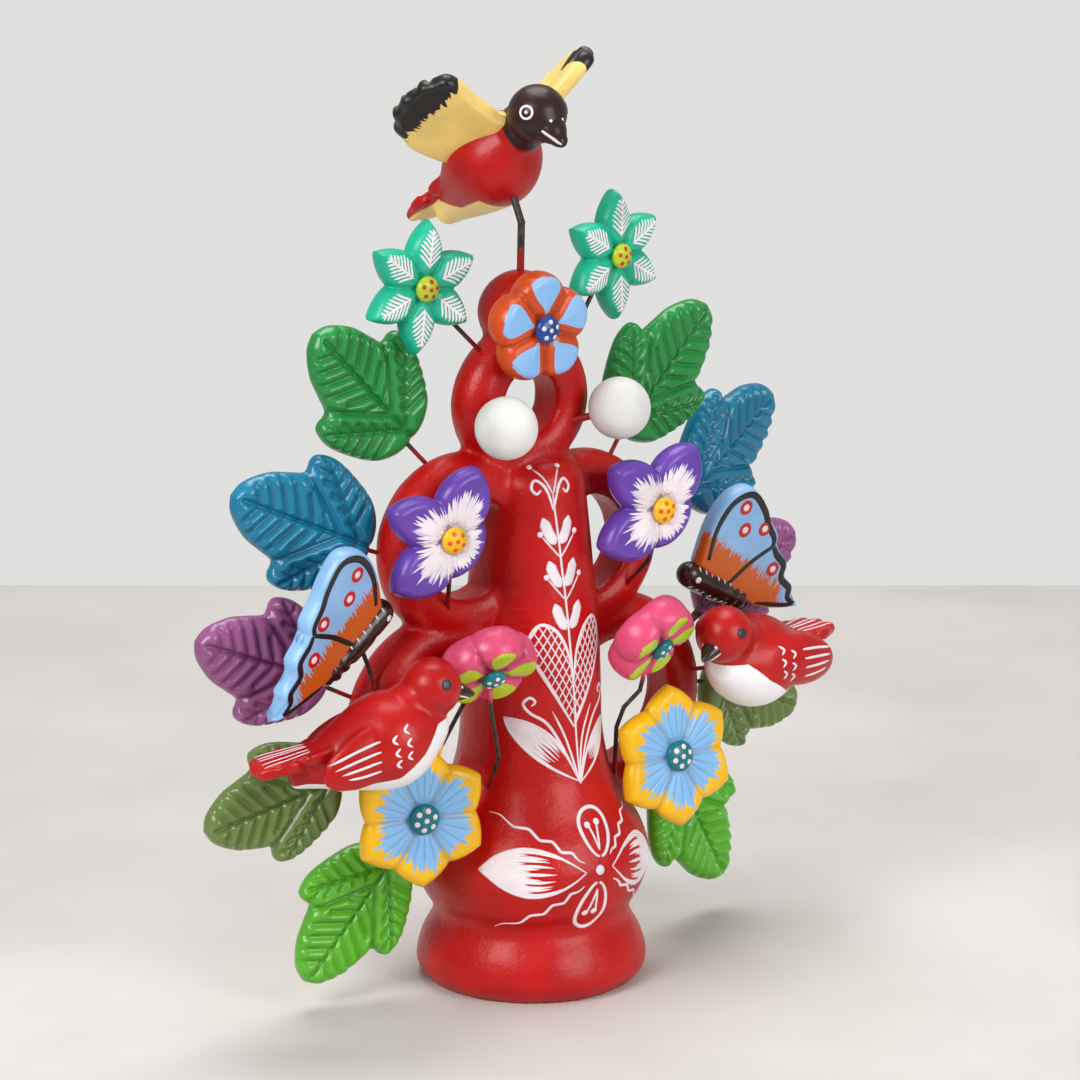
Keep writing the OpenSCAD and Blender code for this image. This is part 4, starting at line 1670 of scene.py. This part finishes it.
@dataclass
class Studio:
    """A pale table, soft light and the long lens that looks at the tree."""

    azimuth: float = -37.0
    elevation: float = 14.5
    distance: float = 1.5
    aim: tuple = (0.0, 0.0, 0.1415)
    table: float = 0.472
    lens: float = 160.0
    sensor: float = 36.0
    # How far the view is moved to its right, and what the lamps face
    shift: float = 0.0028
    lit: tuple = (0, 0, 0.13)
    # The room's light on the tree, and how bright its wall looks
    room: float = 0.54
    wall: float = 1.0

    def right(self) -> Vector:
        """The camera's right, level with the table."""
        a = math.radians(self.azimuth)
        return Vector((math.cos(a), math.sin(a), 0))

    def front(self) -> Vector:
        """The way from the tree towards the camera, level with the table."""
        a = math.radians(self.azimuth)
        return Vector((math.sin(a), -math.cos(a), 0))

    def camera(self) -> None:
        """Sets the camera up."""
        a, e = math.radians(self.azimuth), math.radians(self.elevation)
        back = Vector((math.sin(a) * math.cos(e), -math.cos(a) * math.cos(e), math.sin(e)))
        aim = Vector(self.aim) + self.right() * self.shift
        data = bpy.data.cameras.new("camera")
        data.lens, data.sensor_width, data.clip_end = self.lens, self.sensor, 20.0
        made = bpy.data.objects.new("camera", data)
        bpy.context.scene.collection.objects.link(made)
        made.location = aim + back * self.distance
        made.rotation_euler = (-back).to_track_quat("-Z", "Y").to_euler()
        bpy.context.scene.camera = made

    def lamp(self, name: str, at: Sequence[float], size: float, power: float) -> None:
        """A soft lamp that faces the tree.

        Args:
            name: its name.
            at: its place.
            size: its width, in metres.
            power: its power, in watts.
        """
        data = bpy.data.lights.new(name, "AREA")
        data.size, data.energy = size, power
        made = bpy.data.objects.new(name, data)
        bpy.context.scene.collection.objects.link(made)
        made.location = at
        made.rotation_euler = (Vector(self.lit) - Vector(at)).to_track_quat("-Z", "Y").to_euler()

    def build(self) -> None:
        """Builds the stage."""
        bpy.ops.object.select_all(action="DESELECT")
        bpy.ops.mesh.primitive_cube_add(size=1.0)
        table = bpy.context.object
        table.name = "table"
        half = self.table * 2
        table.data.transform(turn_by(self.azimuth, "Z") @ Matrix.Translation((0, 0, -0.01))
                             @ Matrix.Diagonal((half, half, 0.02, 1)))
        s = Shader("pale_table")
        cloud = s.grain(s.place(), 9.0, 4.0)
        s.feed(s.bsdf.inputs["Base Color"],
               s.mix(s.ramp(cloud, 0.3, 0.7), linear(198, 194, 190), linear(208, 204, 200)))
        s.bsdf.inputs["Roughness"].default_value = 0.6
        table.data.materials.append(s.material)
        right, front = self.right(), self.front()
        self.lamp("key", right * -0.55 + front * 0.75 + Vector((0, 0, 0.75)), 0.5, 8.0)
        self.lamp("fill", right * 0.8 + front * 0.7 + Vector((0, 0, 0.5)), 0.6, 6.5)
        self.lamp("top", front * -0.25 + Vector((0, 0, 1.1)), 0.7, 8.0)
        self.surroundings()

    def surroundings(self) -> None:
        """The pale room, brighter where the camera looks at its wall than where it lights the tree."""
        world = bpy.data.worlds.new("soft_room")
        bpy.context.scene.world = world
        world.use_nodes = True
        nodes, links = world.node_tree.nodes, world.node_tree.links
        room, wall, path, mix = (nodes["Background"], nodes.new("ShaderNodeBackground"),
                                 nodes.new("ShaderNodeLightPath"), nodes.new("ShaderNodeMixShader"))
        for background, strength in ((room, self.room), (wall, self.wall)):
            background.inputs["Color"].default_value = linear(224, 224, 222)
            background.inputs["Strength"].default_value = strength
        links.new(path.outputs["Is Camera Ray"], mix.inputs[0])
        links.new(room.outputs[0], mix.inputs[1])
        links.new(wall.outputs[0], mix.inputs[2])
        links.new(mix.outputs[0], nodes["World Output"].inputs["Surface"])
        bpy.context.scene.view_settings.view_transform = "Standard"


# ---- The whole tree ----------------------------------------------------------

# Each leaf's length and colour
LEAVES = {
    "green_leaf": (52, (32, 140, 62)), "blue_leaf": (53, (8, 122, 158)), "purple_leaf": (50, (150, 80, 132)),
    "olive_leaf": (48, (104, 128, 62)), "lime_leaf": (50, (90, 180, 36)),
}
PETALS6, PETALS5 = tuple(k * 60.0 for k in range(6)), tuple(k * 72.0 for k in range(5))
STAR = Flower((20.8,) * 6, PETALS6, 12.2, 0.95, 8, 4.0, Bead.LIME_RED, crease=0.75, veined=True)
PINK = Flower((15.5,) * 5, PETALS5, 14, 1.8, 11, 4.0, Bead.TEAL_WHITE, crease=1.1,
              inner_shape="patches", patch=(0.54, 0.36, 0.36))
YELLOW = Flower((22.8,) * 6, PETALS6, 18.2, 0.95, 6.5, 5.0, Bead.TEAL_WHITE, crease=0.5, engraved=26,
                inner_shape="disc", inner=0.74)
ORANGE = Flower((17.5,) * 5, PETALS5, 14.5, 1.8, 10, 4.3, Bead.COBALT_WHITE, crease=0.85,
                inner_shape="patches", patch=(0.6, 0.33, 0.44))
VIOLET = Flower((12.5, 24.5, 23.5, 23.5), (0.0, 114.0, 178.0, 265.0), 13, 1.2, 8, 4.2, Bead.YELLOW_ORANGE,
                crease=0.8, inner_shape="feathers", inner=0.72)
FLOWERS = {
    "star": (STAR, Paint("star_teal", linear(18, 180, 144), rough=0.36)),
    "pink_flower": (PINK, Paint("flower_pink", linear(222, 78, 118), rough=0.3,
                                layers=(Coat("area", linear(176, 200, 34), 0.2, 1.2),))),
    "yellow_flower": (YELLOW, Paint("flower_yellow", linear(250, 190, 10), rough=0.32,
                                    layers=(Coat("area", linear(126, 180, 228), 0.2, 13.0),))),
    "violet": (VIOLET, Paint("flower_violet", linear(104, 64, 168), rough=0.3,
                             layers=(Coat("area", linear(196, 190, 226), 0.5, 17.0),))),
}
# Each piece's place, then its turn, lift and spin in degrees, as in the frame
PLACES = {
    Side.RIGHT: {
        "star": ((38.3, 8.5, 226.5), (9, 0, 0)), "green_leaf": ((39, 6.5, 169.5), (0, 0, -43)),
        "blue_leaf": ((67.5, 8, 144.5), (14, 0, -60)), "purple_leaf": ((72, 7, 106), (8, 0, -68)),
        "olive_leaf": ((75, 6.5, 83), (8, 0, -113)), "lime_leaf": ((61, 7, 54.5), (8, 0, -150)),
        "ball": ((21.6, -17, 184), (0, 0, 0)), "violet": ((33, -21.2, 151.2), (0, 0, -132)),
        "butterfly": ((57, -8, 122.5), (0, -12, 10)), "bird": ((71.8, -23.5, 96), (-71, 6, 0)),
        "pink_flower": ((27.8, -25.5, 111), (16, -35, 0)), "yellow_flower": ((36.5, -26.3, 71), (-1, 9, 0)),
    },
    Side.LEFT: {
        "star": ((-42.2, 0, 227.2), (0, 0, -8)), "green_leaf": ((-39.3, 10, 177.7), (0, 0, 43)),
        "blue_leaf": ((-58, 5.5, 147.5), (-5, 0, 65)), "purple_leaf": ((-72.5, 7, 107.5), (-5, 0, 68)),
        "olive_leaf": ((-69.5, 6.5, 76), (-8, 0, 104)), "lime_leaf": ((-49, 7, 47.5), (-8, 0, 140)),
        "ball": ((-24, -19.5, 184.4), (0, 0, 0)), "violet": ((-43, -15, 152), (-5, 0, -120)),
        "butterfly": ((-63.5, -8, 130), (12, -12, 0)), "bird": ((-75.5, -25, 95.5), (71, 17, 0)),
        "pink_flower": ((-33.5, -22.4, 112), (-10, -42, 0)),
        "yellow_flower": ((-53.5, -14.5, 65), (-14, 0, 0)),
    },
}
# The colour each stem's far end is touched with
STEM_TIPS = {kind: colour for kind, (_, colour) in LEAVES.items()} | {
    "star": (18, 180, 144), "ball": (225, 224, 222), "violet": (98, 58, 162), "butterfly": (46, 24, 20),
    "bird": (172, 22, 20), "pink_flower": (222, 78, 118), "yellow_flower": (250, 190, 10),
    "top_bird": (60, 52, 48),
}


def build_clay(shop: Workshop) -> None:
    """Builds the clay body and its slip painting."""
    body = ClayTree().build()
    tree = tree_of(body)
    set_in_place(body, Matrix.Identity(4), shop.paint(CLAY_RED))
    nodes = ("trunk", "crown_ring", "middle_branch_left", "middle_branch_right", "lower_branch_left",
             "lower_branch_right")
    shop.tie(body, "clay_tree")
    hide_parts(*nodes)
    brush = Brush(on_form(tree, lambda p: (Vector((p[0], -200, p[1])), Vector((0, 1, 0)))))
    lines, dots = SlipPainting().marks()
    for line in lines:
        brush.stroke(line)
    for dot in dots:
        brush.dot(dot)
    shop.lay(brush, "slip_painting", Matrix.Identity(4), SLIP, "clay_tree", "red_clay")
    petals = Paint("crown_orange", linear(208, 74, 22), rough=0.3,
                   layers=(Coat("area", linear(132, 178, 226), 0.2, 0.8),))
    shop.flower("crown_flower", "clay_tree", hang((-8.4, -14.5, 213), 0, 0, 0), ORANGE, petals,
                "crown_flower_paint")


def build_ornaments(shop: Workshop) -> None:
    """Builds every pair of ornaments and the top bird."""
    birds = Aviary(shop)
    for side, places in PLACES.items():
        for kind, (at, (turn, lift, spin)) in places.items():
            node = f"{kind}_{side.value}"
            mirrored = side is Side.LEFT and kind == "butterfly"
            where = hang(at, turn, lift, spin, mirrored)
            if kind in LEAVES:
                length, colour = LEAVES[kind]
                shop.leaf(node, where, length, Paint(f"{kind}_gloss", linear(*colour), rough=0.26, coat=0.35))
            elif kind in FLOWERS:
                form, paint = FLOWERS[kind]
                shop.flower(node, node, where, form, paint, f"{kind}_paint")
            elif kind == "ball":
                shop.ball(node, at)
            elif kind == "butterfly":
                shop.butterfly(node, where)
            else:
                birds.red_bird(node, perched(at, turn, lift))
    birds.top_bird(perched((-4.4, 15, 259), 3, 41))


def dress_stems(frame: dict) -> None:
    """Gives every stem its wire finish."""
    for joint in frame["joints"]:
        body = joint["child"]
        side = next((f"_{s.value}" for s in Side if body.endswith(s.value)), "")
        kind = body.removesuffix(side) if side else body
        stem = frame["nodes"][f"{kind}_stem{side}"]
        low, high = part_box(stem.name)
        reach = (high - low).length - 0.012
        finish = stem_finish(f"{stem.name}_wire", joint["pos_m"], linear(150, 18, 16),
                             linear(*STEM_TIPS[kind]), reach)
        stem.data.materials.clear()
        stem.data.materials.append(finish)


def main() -> None:
    """Builds the tree and its stage."""
    logging.basicConfig(level=logging.WARNING)
    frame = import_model()
    Studio().camera()
    shop = Workshop()
    build_clay(shop)
    build_ornaments(shop)
    dress_stems(frame)
    Studio().build()


if __name__ == "__main__":
    main()
